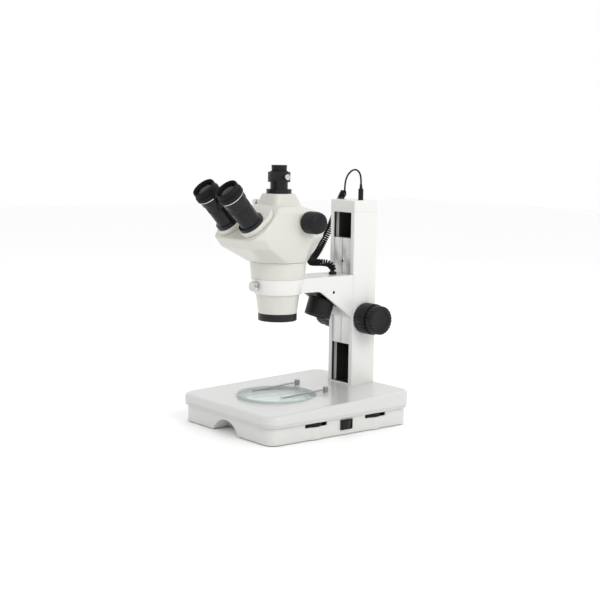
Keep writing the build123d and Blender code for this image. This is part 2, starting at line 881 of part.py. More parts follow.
with BuildPart() as focus_arm:
    with BuildSketch(Plane.YZ):
        with BuildLine():
            Polyline(
                (0, arm_top),
                (arm_back, arm_top),
                (arm_back, arm_foot),
                (arm_knee, arm_underside),
                (0, arm_underside),
                close=True,
            )
        make_face()
        fillet(vertices().sort_by(Axis.X)[2], radius=arm_knee_radius)
    extrude(amount=column_width / 2, both=True)
    with Locations((0, 0, ring_bottom)):
        Cone(
            ring_radius_bottom,
            ring_radius_top,
            ring_height,
            align=(Align.CENTER, Align.CENTER, Align.MIN),
        )
    with BuildSketch(Plane.XY.offset(arm_ceiling)):
        with Locations((0, bay_middle)):
            Rectangle(column_width - 2 * arm_wall, bay_back - lamp_bay_front)
    extrude(amount=-arm_foot_height, mode=Mode.SUBTRACT)
    with Locations((0, 0, ring_bottom)):
        Cylinder(
            ring_bore,
            ring_height,
            align=(Align.CENTER, Align.CENTER, Align.MIN),
            mode=Mode.SUBTRACT,
        )
    with BuildSketch(Plane.XZ.offset(-arm_back)):
        with Locations((0, (arm_top + arm_foot) / 2)):
            Rectangle(arm_boss_width, arm_boss_height)
    extrude(amount=-(carriage_front - arm_back))
    with BuildSketch(Plane.XZ.offset(-carriage_front)):
        with Locations(*[(0, z) for z in arm_bolt_heights]):
            Circle(arm_bolt_radius)
    extrude(amount=arm_wall * 3, mode=Mode.SUBTRACT)
    with BuildSketch(Plane.YZ.offset(column_width / 2)):
        with Locations((set_screw_y, set_screw_height)):
            Circle(set_screw_radius)
    extrude(amount=-arm_wall, mode=Mode.SUBTRACT)
    with BuildSketch(Plane.XZ):
        with Locations((0, clamp_screw_height)):
            Circle(clamp_shank_radius + screw_clearance)
    extrude(amount=ring_radius_top, mode=Mode.SUBTRACT)
    with BuildSketch(Plane.XY.offset(arm_top)):
        with Locations((gland_x, gland_y)):
            Circle(gland_spigot_radius)
    extrude(amount=-arm_roof, mode=Mode.SUBTRACT)

with BuildPart() as arm_screws:
    for height in arm_bolt_heights:
        with BuildSketch(Plane.XZ.offset(-bay_back)):
            with Locations((0, height)):
                Circle(arm_bolt_head)
        extrude(amount=arm_bolt_radius)
        with BuildSketch(Plane.XZ.offset(-bay_back)):
            with Locations((0, height)):
                Circle(arm_bolt_radius)
        extrude(amount=-(carriage_front + arm_bolt_reach - 1 - bay_back))
    with BuildSketch(Plane.XZ.offset(-carriage_front - seam_depth)):
        with Locations((0, stop_screw_height)):
            Circle(stop_screw_radius)
    extrude(amount=-arm_bolt_reach + 2 * seam_depth)
    with BuildSketch(Plane.YZ.offset(column_width / 2 - 1)):
        with Locations((set_screw_y, set_screw_height)):
            Circle(set_screw_radius)
            RegularPolygon(set_screw_radius / 2, 6, mode=Mode.SUBTRACT)
    extrude(amount=-(arm_wall - 2))

with BuildPart() as cord_gland:
    with BuildSketch(Plane.XY.offset(arm_top)):
        with Locations((gland_x, gland_y)):
            Circle(gland_radius)
    extrude(amount=gland_height)
    fillet(faces().sort_by(Axis.Z)[-1].edges(), radius=gland_edge)
    with BuildSketch(Plane.XY.offset(arm_top)):
        with Locations((gland_x, gland_y)):
            Circle(gland_spigot_radius)
    extrude(amount=-arm_roof)

clamp_plane = Plane(
    origin=(0, -(ring_bore + running_clearance), clamp_screw_height),
    x_dir=(1, 0, 0),
    z_dir=(0, -1, 0),
)
with BuildPart() as ring_clamp_screw:
    with BuildSketch(clamp_plane):
        Circle(clamp_shank_radius)
    extrude(amount=clamp_shank_length)
    with BuildSketch(clamp_plane.offset(clamp_shank_length)):
        Circle(clamp_head_radius)
    extrude(amount=clamp_head_length)
    chamfer(faces().sort_by(Axis.Y)[0].edges(), length=1)

with BuildPart() as lamp_bracket:
    with BuildSketch(Plane.XY.offset(arm_ceiling)):
        with Locations((0, lamp_pivot.Y)):
            Rectangle(2 * (lamp_ear_gap + lamp_ear_thickness), lamp_ear_width)
    extrude(amount=-lamp_ear_thickness / 2)
    for side in (-1, 1):
        with BuildSketch(Plane.YZ.offset(side * lamp_ear_gap)):
            with Locations((lamp_pivot.Y, (arm_ceiling + lamp_pivot.Z) / 2)):
                Rectangle(lamp_ear_width, arm_ceiling - lamp_pivot.Z)
            with Locations((lamp_pivot.Y, lamp_pivot.Z)):
                Circle(lamp_ear_width / 2)
        extrude(amount=side * lamp_ear_thickness)
    with BuildSketch(Plane.YZ.offset(-lamp_ear_gap)):
        with Locations((lamp_pivot.Y, lamp_pivot.Z)):
            Circle(lamp_pin_radius)
    extrude(amount=2 * lamp_ear_gap)

lamp_plane = Plane(origin=lamp_top, x_dir=(1, 0, 0), z_dir=lamp_axis)
lug_middle = lamp_pivot + lamp_axis * ((lamp_lug_length + lug_overlap) / 2)
with BuildPart() as lamp_housing:
    with BuildSketch(lamp_plane):
        Circle(lamp_radius)
    extrude(amount=lamp_length)
    fillet(edges().filter_by(GeomType.CIRCLE).group_by(Axis.Z)[-1], radius=lamp_edge)
    with BuildSketch(lamp_plane.offset(2 * lamp_wall)):
        Circle(lamp_radius - lamp_wall)
    extrude(amount=lamp_length, mode=Mode.SUBTRACT)
    with BuildSketch(Plane.YZ.offset(-lamp_lug_half)):
        with Locations((lamp_pivot.Y, lamp_pivot.Z)):
            Circle(lamp_lug_radius)
        with Locations((lug_middle.Y, lug_middle.Z)):
            Rectangle(2 * lamp_lug_radius, lamp_lug_length + lug_overlap, rotation=-lamp_tilt)
    extrude(amount=2 * lamp_lug_half)
    with BuildSketch(Plane.YZ.offset(-lamp_lug_half)):
        with Locations((lamp_pivot.Y, lamp_pivot.Z)):
            Circle(lamp_pin_radius + screw_clearance)
    extrude(amount=2 * lamp_lug_half, mode=Mode.SUBTRACT)

with BuildPart() as lamp_lens:
    with BuildSketch(lamp_plane.offset(lamp_length - 2 * lamp_wall)):
        Circle(lamp_radius - lamp_wall)
    extrude(amount=lamp_wall)

# ---------------------------------------------------------------- head
journal_radius = ring_bore - running_clearance
nose_cone_bottom = nose_bottom + objective_ring_height


def turned(points):
    """A solid of revolution about Z from (radius, height) points."""
    with BuildPart() as body:
        with BuildSketch(Plane.XZ):
            with BuildLine():
                Polyline(*points, close=True)
            make_face()
        revolve(axis=Axis.Z)
    return body.part


nose_cone = turned([
    (neck_bore, nose_cone_bottom),
    (objective_ring_radius, nose_cone_bottom),
    (nose_top_radius, ring_bottom - 1),
    (journal_radius, ring_bottom - 1),
    (journal_radius, arm_top + running_clearance),
    (ring_radius_top, arm_top + running_clearance),
    (neck_radius, head_base),
    (neck_bore, head_base),
])
objective_ring = turned([
    (objective_thread_radius, nose_bottom),
    (objective_ring_radius - 0.8, nose_bottom),
    (objective_ring_radius, nose_bottom + 0.8),
    (objective_ring_radius, nose_cone_bottom),
    (objective_thread_radius, nose_cone_bottom),
])
objective_lens = turned([
    (0, nose_cone_bottom),
    (lens_radius, nose_cone_bottom),
    (lens_radius, nose_cone_bottom + lens_thickness),
    (0, nose_cone_bottom + lens_thickness),
])

# each level: height, front, front half, widest half, where that starts and ends, back half, back, corner
head_levels = (
    (head_base, -46, 19, 46, -19, 19, 19, 46, 24),
    (head_mid, -84, 40, 56, -58, 16, 32, 54, 10),
    (head_wide, -91, 50, head_half, -70, 20, 40, head_back, 9),
)
# the roof's rear slope from its middle, as (y, drop), and the shoulders, as (half width, height)
roof_start, roof_bend = (16, 0), (38, 7)
shoulder_low, shoulder_high = (head_half, 326), (54, 344)
roof_half = 42


def head_outline(level, height, inset):
    """The head's outline for one level, drawn at this height."""
    _, front, front_half, side_half, side_front, side_back, back_half, back, corner = level
    right = [
        (front_half - inset / 2, front + inset),
        (side_half - inset, side_front + inset / 2),
        (side_half - inset, side_back - inset / 2),
        (back_half - inset / 2, back - inset),
    ]
    left = [(-x, y) for x, y in reversed(right)]
    with BuildSketch(Plane.XY.offset(height)) as outline:
        with BuildLine():
            Polyline(*right, *left, close=True)
        make_face()
        fillet(outline.vertices(), radius=corner)
    return outline.sketch


def head_solid(inset):
    """The head's body and hump, drawn in by the inset, as one solid."""
    face = head_face - tube_axis * inset
    rise = face_up.Z / face_up.Y
    top = head_top - inset
    low = head_base - head_wall
    with BuildPart() as body:
        base_level, mid_level, wide_level = head_levels
        outlines = [
            head_outline(base_level, head_base + inset, inset),
            head_outline(mid_level, head_mid, inset),
            head_outline(wide_level, head_wide, inset),
        ]
        loft(outlines, ruled=True)
        extrude(outlines[-1], amount=top - head_wide)
        with BuildSketch(Plane.YZ):
            with BuildLine():
                Polyline(
                    (-head_reach, low),
                    (-head_reach, face.Z + rise * (-head_reach - face.Y)),
                    (face.Y + (top - face.Z) / rise, top),
                    (roof_start[0] - inset, top),
                    (roof_bend[0] - inset, top - roof_bend[1]),
                    (head_back - inset, head_wide),
                    (head_reach, low),
                    close=True,
                )
            make_face()
        extrude(amount=head_reach, both=True, mode=Mode.INTERSECT)
        with BuildSketch(Plane.XZ):
            with BuildLine():
                Polyline(
                    (-head_reach, low),
                    (-head_reach, head_wide),
                    (-shoulder_low[0] + inset, shoulder_low[1] - inset / 2),
                    (-shoulder_high[0] + inset, shoulder_high[1] - inset),
                    (-roof_half + inset, top),
                    (roof_half - inset, top),
                    (shoulder_high[0] - inset, shoulder_high[1] - inset),
                    (shoulder_low[0] - inset, shoulder_low[1] - inset / 2),
                    (head_reach, head_wide),
                    (head_reach, low),
                    close=True,
                )
            make_face()
        extrude(amount=head_reach, both=True, mode=Mode.INTERSECT)
        for level, half, corner in (
            (top - hump_overlap, hump_bottom_half, hump_bottom_corner),
            (hump_top - inset, hump_top_half, hump_top_corner),
        ):
            with BuildSketch(Plane.XY.offset(level)):
                RectangleRounded(2 * (half - inset), 2 * (half - inset), corner - inset / 2)
        loft()
    return body.part


pivots = {}
for side in (-1, 1):
    foot = tube_foot + Vector(side * tube_half_spacing, 0, 0)
    pivots[side] = foot + face_up * pivot_rise - Vector(side * pivot_inset, 0, 0)


def pivot_plane(side, along):
    """The plane square to an eyetube, this far along it from the prism housing's face."""
    return Plane(origin=pivots[side] + tube_axis * along, x_dir=(1, 0, 0), z_dir=tube_axis)


zoom_plane = Plane(origin=(0, zoom_y, zoom_height), x_dir=(0, 1, 0), z_dir=(1, 0, 0))
head_hollow = head_solid(head_wall)
with BuildPart() as head_shell:
    add(head_solid(0))
    add(head_hollow, mode=Mode.SUBTRACT)
    with BuildSketch(Plane.XY.offset(head_base)):
        Circle(neck_bore)
    extrude(amount=2 * head_wall, mode=Mode.SUBTRACT)
    with BuildSketch(Plane.XY.offset(hump_top)):
        Circle(port_bore)
    extrude(amount=-2 * head_wall, mode=Mode.SUBTRACT)
    with BuildSketch(zoom_plane.offset(-head_reach)):
        Circle(zoom_shaft_radius + screw_clearance)
    extrude(amount=2 * head_reach, mode=Mode.SUBTRACT)
    with BuildSketch(Plane.YZ):
        with Locations((path_rod_y, path_rod_height)):
            Circle(path_rod_radius + screw_clearance)
    extrude(amount=-head_reach, mode=Mode.SUBTRACT)
    for side in (-1, 1):
        with BuildSketch(pivot_plane(side, -housing_thickness)):
            Circle(spigot_radius + screw_clearance)
        extrude(amount=-2 * head_wall, mode=Mode.SUBTRACT)

head_halves = {}
for side, keep in ((-1, Keep.BOTTOM), (1, Keep.TOP)):
    with BuildPart() as half:
        add(head_shell.part)
        split(bisect_by=Plane.YZ, keep=keep)
    head_halves[side] = half.part


def prism_housing(side):
    """The turning housing that carries an eyetube, with its spigot in the head."""
    with BuildPart() as housing:
        with BuildSketch(pivot_plane(side, -housing_thickness)):
            Circle(housing_radius)
            with Locations((side * pivot_inset, -pivot_rise)):
                Circle(housing_tube_radius)
            make_hull()
        extrude(amount=housing_thickness)
        with BuildSketch(pivot_plane(side, -housing_thickness)):
            Circle(spigot_radius)
        extrude(amount=-spigot_length)
    return housing.part


def tube_plane(side, along):
    """The plane square to an eyetube, this far above the prism housing."""
    foot = tube_foot + Vector(side * tube_half_spacing, 0, 0)
    return Plane(origin=foot + tube_axis * along, x_dir=(1, 0, 0), z_dir=tube_axis)


def stepped_tube(side, steps, bore):
    """Stacked rings along an eyetube: (start, end, radius) steps with one bore."""
    start = min(step[0] for step in steps)
    end = max(step[1] for step in steps)
    with BuildPart() as tube:
        for low, high, radius in steps:
            with BuildSketch(tube_plane(side, low)):
                Circle(radius)
            extrude(amount=high - low)
        if bore:
            with BuildSketch(tube_plane(side, start)):
                Circle(bore)
            extrude(amount=end - start, mode=Mode.SUBTRACT)
    return tube.part


sleeve_radius = dioptre_radius - dioptre_wall
shoulder = tube_length + running_clearance
cup_start = shoulder + eyecup_start
cup_end = cup_start + eyecup_length
housings = {}
eyetubes = {}
dioptre_rings = {}
eyepieces = {}
eyecups = {}
for side in (-1, 1):
    housings[side] = prism_housing(side)
    eyetubes[side] = stepped_tube(
        side,
        [(0, flange_thickness, flange_radius), (0, dioptre_start, tube_radius), (0, tube_length, sleeve_radius)],
        tube_bore,
    )
    dioptre_rings[side] = stepped_tube(
        side,
        [(dioptre_start + running_clearance, tube_length, dioptre_radius)],
        sleeve_radius + screw_clearance,
    )
    eyepieces[side] = stepped_tube(
        side,
        [
            (shoulder - barrel_length, shoulder, barrel_radius),
            (shoulder, shoulder + eyepiece_length / 2, eyepiece_radius),
            (shoulder, shoulder + eyepiece_length, eyecup_bore + 3),
        ],
        0,
    )
    eyecups[side] = stepped_tube(
        side,
        [(cup_start, cup_start + eyecup_collar_length, eyecup_radius), (cup_start, cup_end, eyecup_rim_radius)],
        eyecup_bore + 3,
    )

# zoom drive
with BuildPart() as zoom_shaft:
    with BuildSketch(zoom_plane.offset(-zoom_shaft_half)):
        Circle(zoom_shaft_radius)
    extrude(amount=2 * zoom_shaft_half)


def zoom_knob(side):
    """A smooth zoom knob with a rounded end, gripping the zoom shaft."""
    start = zoom_shaft_half - zoom_grip
    plane = Plane(origin=(side * start, zoom_y, zoom_height), x_dir=(0, 1, 0), z_dir=(side, 0, 0))
    with BuildPart() as knob:
        with BuildSketch(plane):
            Circle(zoom_knob_radius)
        extrude(amount=zoom_knob_length)
        outer = faces().sort_by(Axis.X)[-1 if side > 0 else 0]
        fillet(outer.edges(), radius=zoom_knob_edge)
        with BuildSketch(plane):
            Circle(zoom_shaft_radius)
        extrude(amount=zoom_grip, mode=Mode.SUBTRACT)
    return knob.part


zoom_knobs = {side: zoom_knob(side) for side in (-1, 1)}

# camera tube
port_neck_bottom = hump_top + port_flange_height
port_collar_bottom = port_neck_bottom + port_neck_height
port_top = port_collar_bottom + port_collar_height + port_lip_height
camera_tube = turned([
    (port_bore - port_ledge, hump_top),
    (port_flange_radius, hump_top),
    (port_flange_radius, port_neck_bottom),
    (port_neck_radius, port_neck_bottom),
    (port_neck_radius, port_collar_bottom),
    (port_collar_radius, port_collar_bottom),
    (port_collar_radius, port_top - port_lip_height),
    (port_neck_radius, port_top - port_lip_height),
    (port_neck_radius, port_top),
    (port_bore, port_top),
    (port_bore, port_neck_bottom),
    (port_bore - port_ledge, port_neck_bottom),
])
port_screw_z = port_collar_bottom + port_collar_height / 2
with BuildPart() as camera_tube_part:
    add(camera_tube)
    with BuildSketch(Plane.YZ):
        with Locations((0, port_screw_z)):
            Circle(port_screw_radius + screw_clearance)
    extrude(amount=port_flange_radius, mode=Mode.SUBTRACT)

camera_plug = turned([
    (0, port_top - port_plug_depth),
    (port_plug_radius, port_top - port_plug_depth),
    (port_plug_radius, port_top),
    (port_plug_radius + port_plug_edge / 2, port_top + running_clearance),
    (port_plug_radius + port_plug_edge, port_top + port_plug_height),
    (0, port_top + port_plug_height),
])

port_screw_plane = Plane(
    origin=(port_bore + port_screw_gap, 0, port_screw_z),
    x_dir=(0, 1, 0),
    z_dir=(1, 0, 0),
)
port_shank_length = port_collar_radius - port_bore + 0.5
with BuildPart() as camera_clamp_screw:
    with BuildSketch(port_screw_plane):
        Circle(port_screw_radius)
    extrude(amount=port_shank_length)
    with BuildSketch(port_screw_plane.offset(port_shank_length)):
        Circle(port_screw_head)
    extrude(amount=port_screw_head_length)

path_plane = Plane(
    origin=(-path_knob_start, path_rod_y, path_rod_height),
    x_dir=(0, 1, 0),
    z_dir=(-1, 0, 0),
)
with BuildPart() as light_path_knob:
    with BuildSketch(path_plane):
        Circle(path_rod_radius)
    extrude(amount=-path_rod_length)
    with BuildSketch(path_plane):
        Circle(path_knob_radius)
    extrude(amount=path_knob_length)

# ---------------------------------------------------------------- lamp cord
plug_top = cap_top + plug_length + relief_length
cord_plug = turned([
    (0, cap_top),
    (plug_radius, cap_top),
    (plug_radius, cap_top + plug_length),
    (plug_relief_radius, cap_top + plug_length + 1),
    (cord_diameter / 2 + 0.4, plug_top),
    (0, plug_top),
]).moved(Location((plug_x, column_center, 0)))

coil_start = Vector(gland_x, gland_y, arm_top + gland_height)
coil_end = Vector(-28, 161, 374)
coil_route = [
    coil_start,
    Vector(gland_x, gland_y, 250.5),
    Vector(-2.2, 107.8, 256.2),
    Vector(-11, 100, 257.5),
    Vector(-21, 94.5, 257),
    Vector(-32, 93, 256.5),
    Vector(-41, 101, 259),
    Vector(-44, 113, 266),
    Vector(-45, 123, 277),
    Vector(-45, 132, 291),
    Vector(-44, 140, 306),
    Vector(-43, 148, 323),
    Vector(-41, 155, 342),
    Vector(-38, 160, 361),
    coil_end,
]
tail_end = Vector(plug_x, column_center, plug_top)
tail_route = [
    coil_end,
    Vector(-27.6, 161, 385.6),
    Vector(-24.6, 160.8, 394.2),
    Vector(-19.2, 160.4, 401.4),
    Vector(-11.8, 160, 406.6),
    Vector(-3.2, 159.5, 409.6),
    Vector(5.6, 158.9, 408.8),
    Vector(12.8, 158.4, 403.4),
    Vector(plug_x, column_center, plug_top + 9),
    tail_end,
]


def corner_radii(name, route):
    """The largest smooth radius at each corner: 0.45 of the shorter run over tan(half the turn)."""
    radii = []
    for before, corner, after in zip(route, route[1:], route[2:]):
        first = corner - before
        second = after - corner
        turn = acos(first.normalized().dot(second.normalized()))
        radii.append(0.45 * min(first.length, second.length) / tan(turn / 2))
    runs = [(b - a).length for a, b in zip(route, route[1:])]
    shown = [round(radius, 1) for radius in radii]
    print(name, "runs", [round(run, 1) for run in runs], "radii", shown)
    return radii


def cord_tube(name, route, diameter):
    """A tube along straight runs joined by tangent arcs."""
    with BuildPart() as tube:
        with BuildLine() as path:
            FilletPolyline(*route, radius=corner_radii(name, route))
        start = (route[1] - route[0]).normalized()
        with BuildSketch(Plane(origin=route[0], z_dir=start)):
            Circle(diameter / 2)
        sweep(path=path.line)
    length = path.wires()[0].length
    expected = pi * diameter**2 / 4 * length
    print(name, "length", round(length, 1), "volume ratio", round(tube.part.volume / expected, 4))
    return tube.part


with BuildPart() as lamp_cord:
    add(cord_tube("coil", coil_route, coil_diameter))
    add(cord_tube("tail", tail_route, cord_diameter))

# ---------------------------------------------------------------- export
pieces = {
    "base_shell": base_shell.part,
    "trim_band": trim_band.part,
    "top_plate": top_plate.part,
    "bottom_cover": bottom_cover.part,
    "rubber_feet": rubber_feet.part,
    "bottom_screws": bottom_screws.part,
    "stage_glass": stage_glass.part,
    "lower_diffuser": lower_diffuser.part,
    "lower_light_board": lower_light_board.part,
    "clip_posts": clip_posts.part,
    "stage_clip_left": stage_clips[-1],
    "stage_clip_right": stage_clips[1],
    "control_board": control_board.part,
    "dimmer_wheel_front": dimmer_wheels[0],
    "dimmer_wheel_rear": dimmer_wheels[1],
    "switch_housing": switch_housing.part,
    "switch_rocker": switch_rocker.part,
    "power_inlet": power_inlet.part,
    "column": column.part,
    "column_bolts": column_bolts.part,
    "column_cap": column_cap.part,
    "power_jack": power_jack.part,
    "shaft_bushes": shaft_bushes.part,
    "slide_plate": slide_plate.part,
    "slide_rack": slide_rack.part,
    "pinion_shaft": pinion_shaft.part,
    "focus_knob_left": focus_knobs[-1],
    "focus_knob_right": focus_knobs[1],
    "focus_discs": focus_discs.part,
    "focus_arm": focus_arm.part,
    "arm_screws": arm_screws.part,
    "cord_gland": cord_gland.part,
    "ring_clamp_screw": ring_clamp_screw.part,
    "lamp_bracket": lamp_bracket.part,
    "lamp_housing": lamp_housing.part,
    "lamp_lens": lamp_lens.part,
    "nose_cone": nose_cone,
    "objective_ring": objective_ring,
    "objective_lens": objective_lens,
    "head_shell_left": head_halves[-1],
    "head_shell_right": head_halves[1],
    "prism_housing_left": housings[-1],
    "prism_housing_right": housings[1],
    "eyetube_left": eyetubes[-1],
    "eyetube_right": eyetubes[1],
    "dioptre_ring_left": dioptre_rings[-1],
    "dioptre_ring_right": dioptre_rings[1],
    "eyepiece_left": eyepieces[-1],
    "eyepiece_right": eyepieces[1],
    "eyecup_left": eyecups[-1],
    "eyecup_right": eyecups[1],
    "zoom_shaft": zoom_shaft.part,
    "zoom_knob_left": zoom_knobs[-1],
    "zoom_knob_right": zoom_knobs[1],
    "camera_tube": camera_tube_part.part,
    "camera_plug": camera_plug,
    "camera_clamp_screw": camera_clamp_screw.part,
    "light_path_knob": light_path_knob.part,
    "lamp_cord": lamp_cord.part,
    "cord_plug": cord_plug,
}

os.makedirs("parts", exist_ok=True)
for name, piece in pieces.items():
    piece.label = name
    export_step(piece, f"parts/{name}.step")
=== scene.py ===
"""Finishes and detailed pieces for a trinocular stereo microscope on a track stand.

The file is laid out as an add-on and run as a script. Metres. X is the user's right, Y runs to the
back and Z is up along the optical axis.
"""
import json
import math

import bmesh
import bpy
from bpy.props import FloatProperty, FloatVectorProperty, IntProperty, PointerProperty
from bpy.types import Operator, Panel, PropertyGroup
from mathutils import Matrix, Vector

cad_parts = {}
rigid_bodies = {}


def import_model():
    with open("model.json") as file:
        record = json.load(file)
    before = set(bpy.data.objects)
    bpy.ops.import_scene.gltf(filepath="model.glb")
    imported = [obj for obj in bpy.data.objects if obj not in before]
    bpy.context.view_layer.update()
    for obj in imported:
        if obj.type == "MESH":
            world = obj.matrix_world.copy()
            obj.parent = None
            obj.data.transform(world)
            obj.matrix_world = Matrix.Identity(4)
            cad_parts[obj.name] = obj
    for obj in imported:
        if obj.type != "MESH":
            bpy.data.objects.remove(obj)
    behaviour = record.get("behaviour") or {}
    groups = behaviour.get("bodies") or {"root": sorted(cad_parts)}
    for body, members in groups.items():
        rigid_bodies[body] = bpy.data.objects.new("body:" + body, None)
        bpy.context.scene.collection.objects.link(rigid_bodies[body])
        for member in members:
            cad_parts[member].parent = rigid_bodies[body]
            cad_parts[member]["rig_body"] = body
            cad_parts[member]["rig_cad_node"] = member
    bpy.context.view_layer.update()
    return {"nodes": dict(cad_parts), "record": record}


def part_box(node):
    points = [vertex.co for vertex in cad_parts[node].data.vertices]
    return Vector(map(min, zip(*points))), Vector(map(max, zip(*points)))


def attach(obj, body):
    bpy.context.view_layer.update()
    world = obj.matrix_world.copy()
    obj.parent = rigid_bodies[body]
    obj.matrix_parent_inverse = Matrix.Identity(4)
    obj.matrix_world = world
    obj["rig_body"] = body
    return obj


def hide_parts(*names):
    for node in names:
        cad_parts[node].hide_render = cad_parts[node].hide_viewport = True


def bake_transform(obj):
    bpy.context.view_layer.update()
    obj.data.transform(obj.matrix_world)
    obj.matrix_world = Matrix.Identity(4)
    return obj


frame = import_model()

bl_info = {
    "name": "Stereo microscope",
    "version": (1, 0, 0),
    "blender": (4, 5, 0),
    "location": "View3D > Sidebar > Microscope",
    "description": "Finishes and detailed pieces for a stereo microscope on a track stand",
    "category": "Object",
}

SIDES = {"left": -1, "right": 1}
TUBE_INCLINE = math.radians(48)
TUBE_AXIS = Vector((0, -math.cos(TUBE_INCLINE), math.sin(TUBE_INCLINE)))
TUBE_UP = Vector((0, math.sin(TUBE_INCLINE), math.cos(TUBE_INCLINE)))
TUBE_FOOT = Vector((0, -0.0746, 0.328))
TUBE_HALF_SPACING = 0.030
ZOOM_AXIS = Vector((0, 0.012, 0.330))
CLAMP_HEIGHT = 0.228

# where paint changes on one piece: painted shade in the column's hollow inside, the glass's thick rim and
# the head's joints
CAVITY_HALF_WIDTH = 0.0222
CAVITY_FRONT = 0.1345
CAVITY_BACK = 0.176
# painted shade: the dark colour laid over the inside of the column's hollow channel
CAVITY_SHADE_COLOUR = (0.03, 0.03, 0.028)
PAINT_MARGIN = 0.0005
GLASS_RIM_RADIUS = 0.0632
HEAD_JOINTS = (0.2655, 0.2386, 0.2145)
HEAD_JOINT_HALF_WIDTH = 0.0003

# the lamp cord's route: up from its gland, under the head and up the column's left side
COIL_ROUTE = [
    (0.002, 0.112, 0.243),
    (0.002, 0.112, 0.2505),
    (-0.0022, 0.1078, 0.2562),
    (-0.011, 0.1, 0.2575),
    (-0.021, 0.0945, 0.257),
    (-0.032, 0.093, 0.2565),
    (-0.041, 0.101, 0.259),
    (-0.044, 0.113, 0.266),
    (-0.045, 0.123, 0.277),
    (-0.045, 0.132, 0.291),
    (-0.044, 0.14, 0.306),
    (-0.043, 0.148, 0.323),
    (-0.041, 0.155, 0.342),
    (-0.038, 0.16, 0.361),
    (-0.028, 0.161, 0.374),
]
TAIL_ROUTE = [
    (-0.0276, 0.161, 0.3856),
    (-0.0246, 0.1608, 0.3942),
    (-0.0192, 0.1604, 0.4014),
    (-0.0118, 0.160, 0.4066),
    (-0.0032, 0.1595, 0.4096),
    (0.0056, 0.1589, 0.4088),
    (0.0128, 0.1584, 0.4034),
    (0.016, 0.158, 0.39506),
    (0.016, 0.158, 0.38606),
]


def colour_property(name, description, default):
    """A paint or plastic colour that the user may change."""
    return FloatVectorProperty(
        name=name, description=description, default=default, subtype="COLOR", size=3, min=0, max=1
    )


def length_property(name, description, default):
    """A length in metres that the user may change."""
    return FloatProperty(name=name, description=description, default=default, unit="LENGTH", min=0)


class MicroscopeColours(PropertyGroup):
    """Colours of the paints, plastics and metals."""

    base: colour_property("Base", "Powder paint on the lower base", (0.60, 0.60, 0.575))
    plate: colour_property("Plate", "Enamel on the base's top plate", (0.58, 0.58, 0.57))
    trim: colour_property("Trim", "Trim band round the base", (0.54, 0.54, 0.52))
    column: colour_property("Column", "Paint on the column and the arm", (0.70, 0.70, 0.68))
    head: colour_property("Head", "Ivory paint on the head", (0.60, 0.59, 0.54))
    black: colour_property("Black", "Moulded and anodised black parts", (0.006, 0.006, 0.007))
    rubber: colour_property("Rubber", "Eyecups, feet and the cord's jacket", (0.006, 0.006, 0.006))
    steel: colour_property("Steel", "Plated screws and rings", (0.66, 0.65, 0.63))
    slide: colour_property("Slide", "Brushed aluminium slide", (0.70, 0.70, 0.69))
    brass: colour_property("Brass", "Shaft bushes", (0.60, 0.43, 0.20))
    glass: colour_property("Glass", "Stage plate", (0.80, 0.93, 0.90))
    floor: colour_property("Floor", "Plain pale floor", (0.97, 0.97, 0.97))


class MicroscopeSizes(PropertyGroup):
    """Sizes of what is modelled here."""

    edge: length_property("Edge", "Softened edge of the castings", 0.0012)
    knob_edge: length_property("Knob edge", "Softened edge of knobs and small parts", 0.0004)
    head_grain: length_property("Head grain", "Mesh size of the moulded head", 0.0014)
    head_rounding: IntProperty(
        name="Head rounding", description="Smoothing passes on the head", default=8, min=0
    )
    seam: length_property("Seam", "Gap between the head's two shells", 0.0003)
    knurl_depth: length_property("Knurl depth", "Depth of the fine ridges", 0.00035)
    zoom_ridges: IntProperty(
        name="Zoom ridges", description="Ridges round each zoom knob", default=72, min=8
    )
    ring_ridges: IntProperty(
        name="Ring ridges", description="Ridges round each dioptre ring", default=60, min=8
    )
    cord_diameter: length_property("Cord diameter", "Diameter of the lamp cord", 0.003)
    coil_diameter: length_property("Coil diameter", "Outer diameter of its curls", 0.0124)
    coil_turns: IntProperty(name="Coil turns", description="Curls in the cord", default=52, min=4)


class MicroscopeView(PropertyGroup):
    """Where the camera stands, where it looks and its lens."""

    turn: FloatProperty(
        name="Turn", description="Round to the user's right", default=math.radians(51.11), subtype="ANGLE"
    )
    tip: FloatProperty(
        name="Tip", description="Down from the horizon", default=math.radians(7.23), subtype="ANGLE"
    )
    roll: FloatProperty(
        name="Roll", description="Round its own line", default=math.radians(0.87), subtype="ANGLE"
    )
    distance: length_property("Distance", "From the camera to what it looks at", 1.9823)
    aside: length_property("Aside", "Looked-at point, right of the optical axis", 0.0357)
    height: length_property("Height", "Looked-at point's height", 0.2038)
    lens: FloatProperty(name="Lens", description="Focal length in millimetres", default=74.74)


class Varying:
    """A number that varies over a surface. An expression on it adds its Math nodes."""

    def __init__(self, finish, socket):
        self.finish = finish
        self.socket = socket

    def math(self, operation, *terms):
        node = self.finish.node("ShaderNodeMath", {"operation": operation}, dict(enumerate(terms)))
        return Varying(self.finish, node.outputs[0])

    def __add__(self, other):
        return self.math("ADD", self, other)

    __radd__ = __add__

    def __sub__(self, other):
        return self.math("SUBTRACT", self, other)

    def __mul__(self, other):
        return self.math("MULTIPLY", self, other)

    def __abs__(self):
        return self.math("ABSOLUTE", self)

    def __lt__(self, other):
        return self.math("LESS_THAN", self, other)

    def __gt__(self, other):
        return self.math("GREATER_THAN", self, other)

    def sine(self):
        return self.math("SINE", self)

    def angle_to(self, other):
        return self.math("ARCTAN2", self, other)


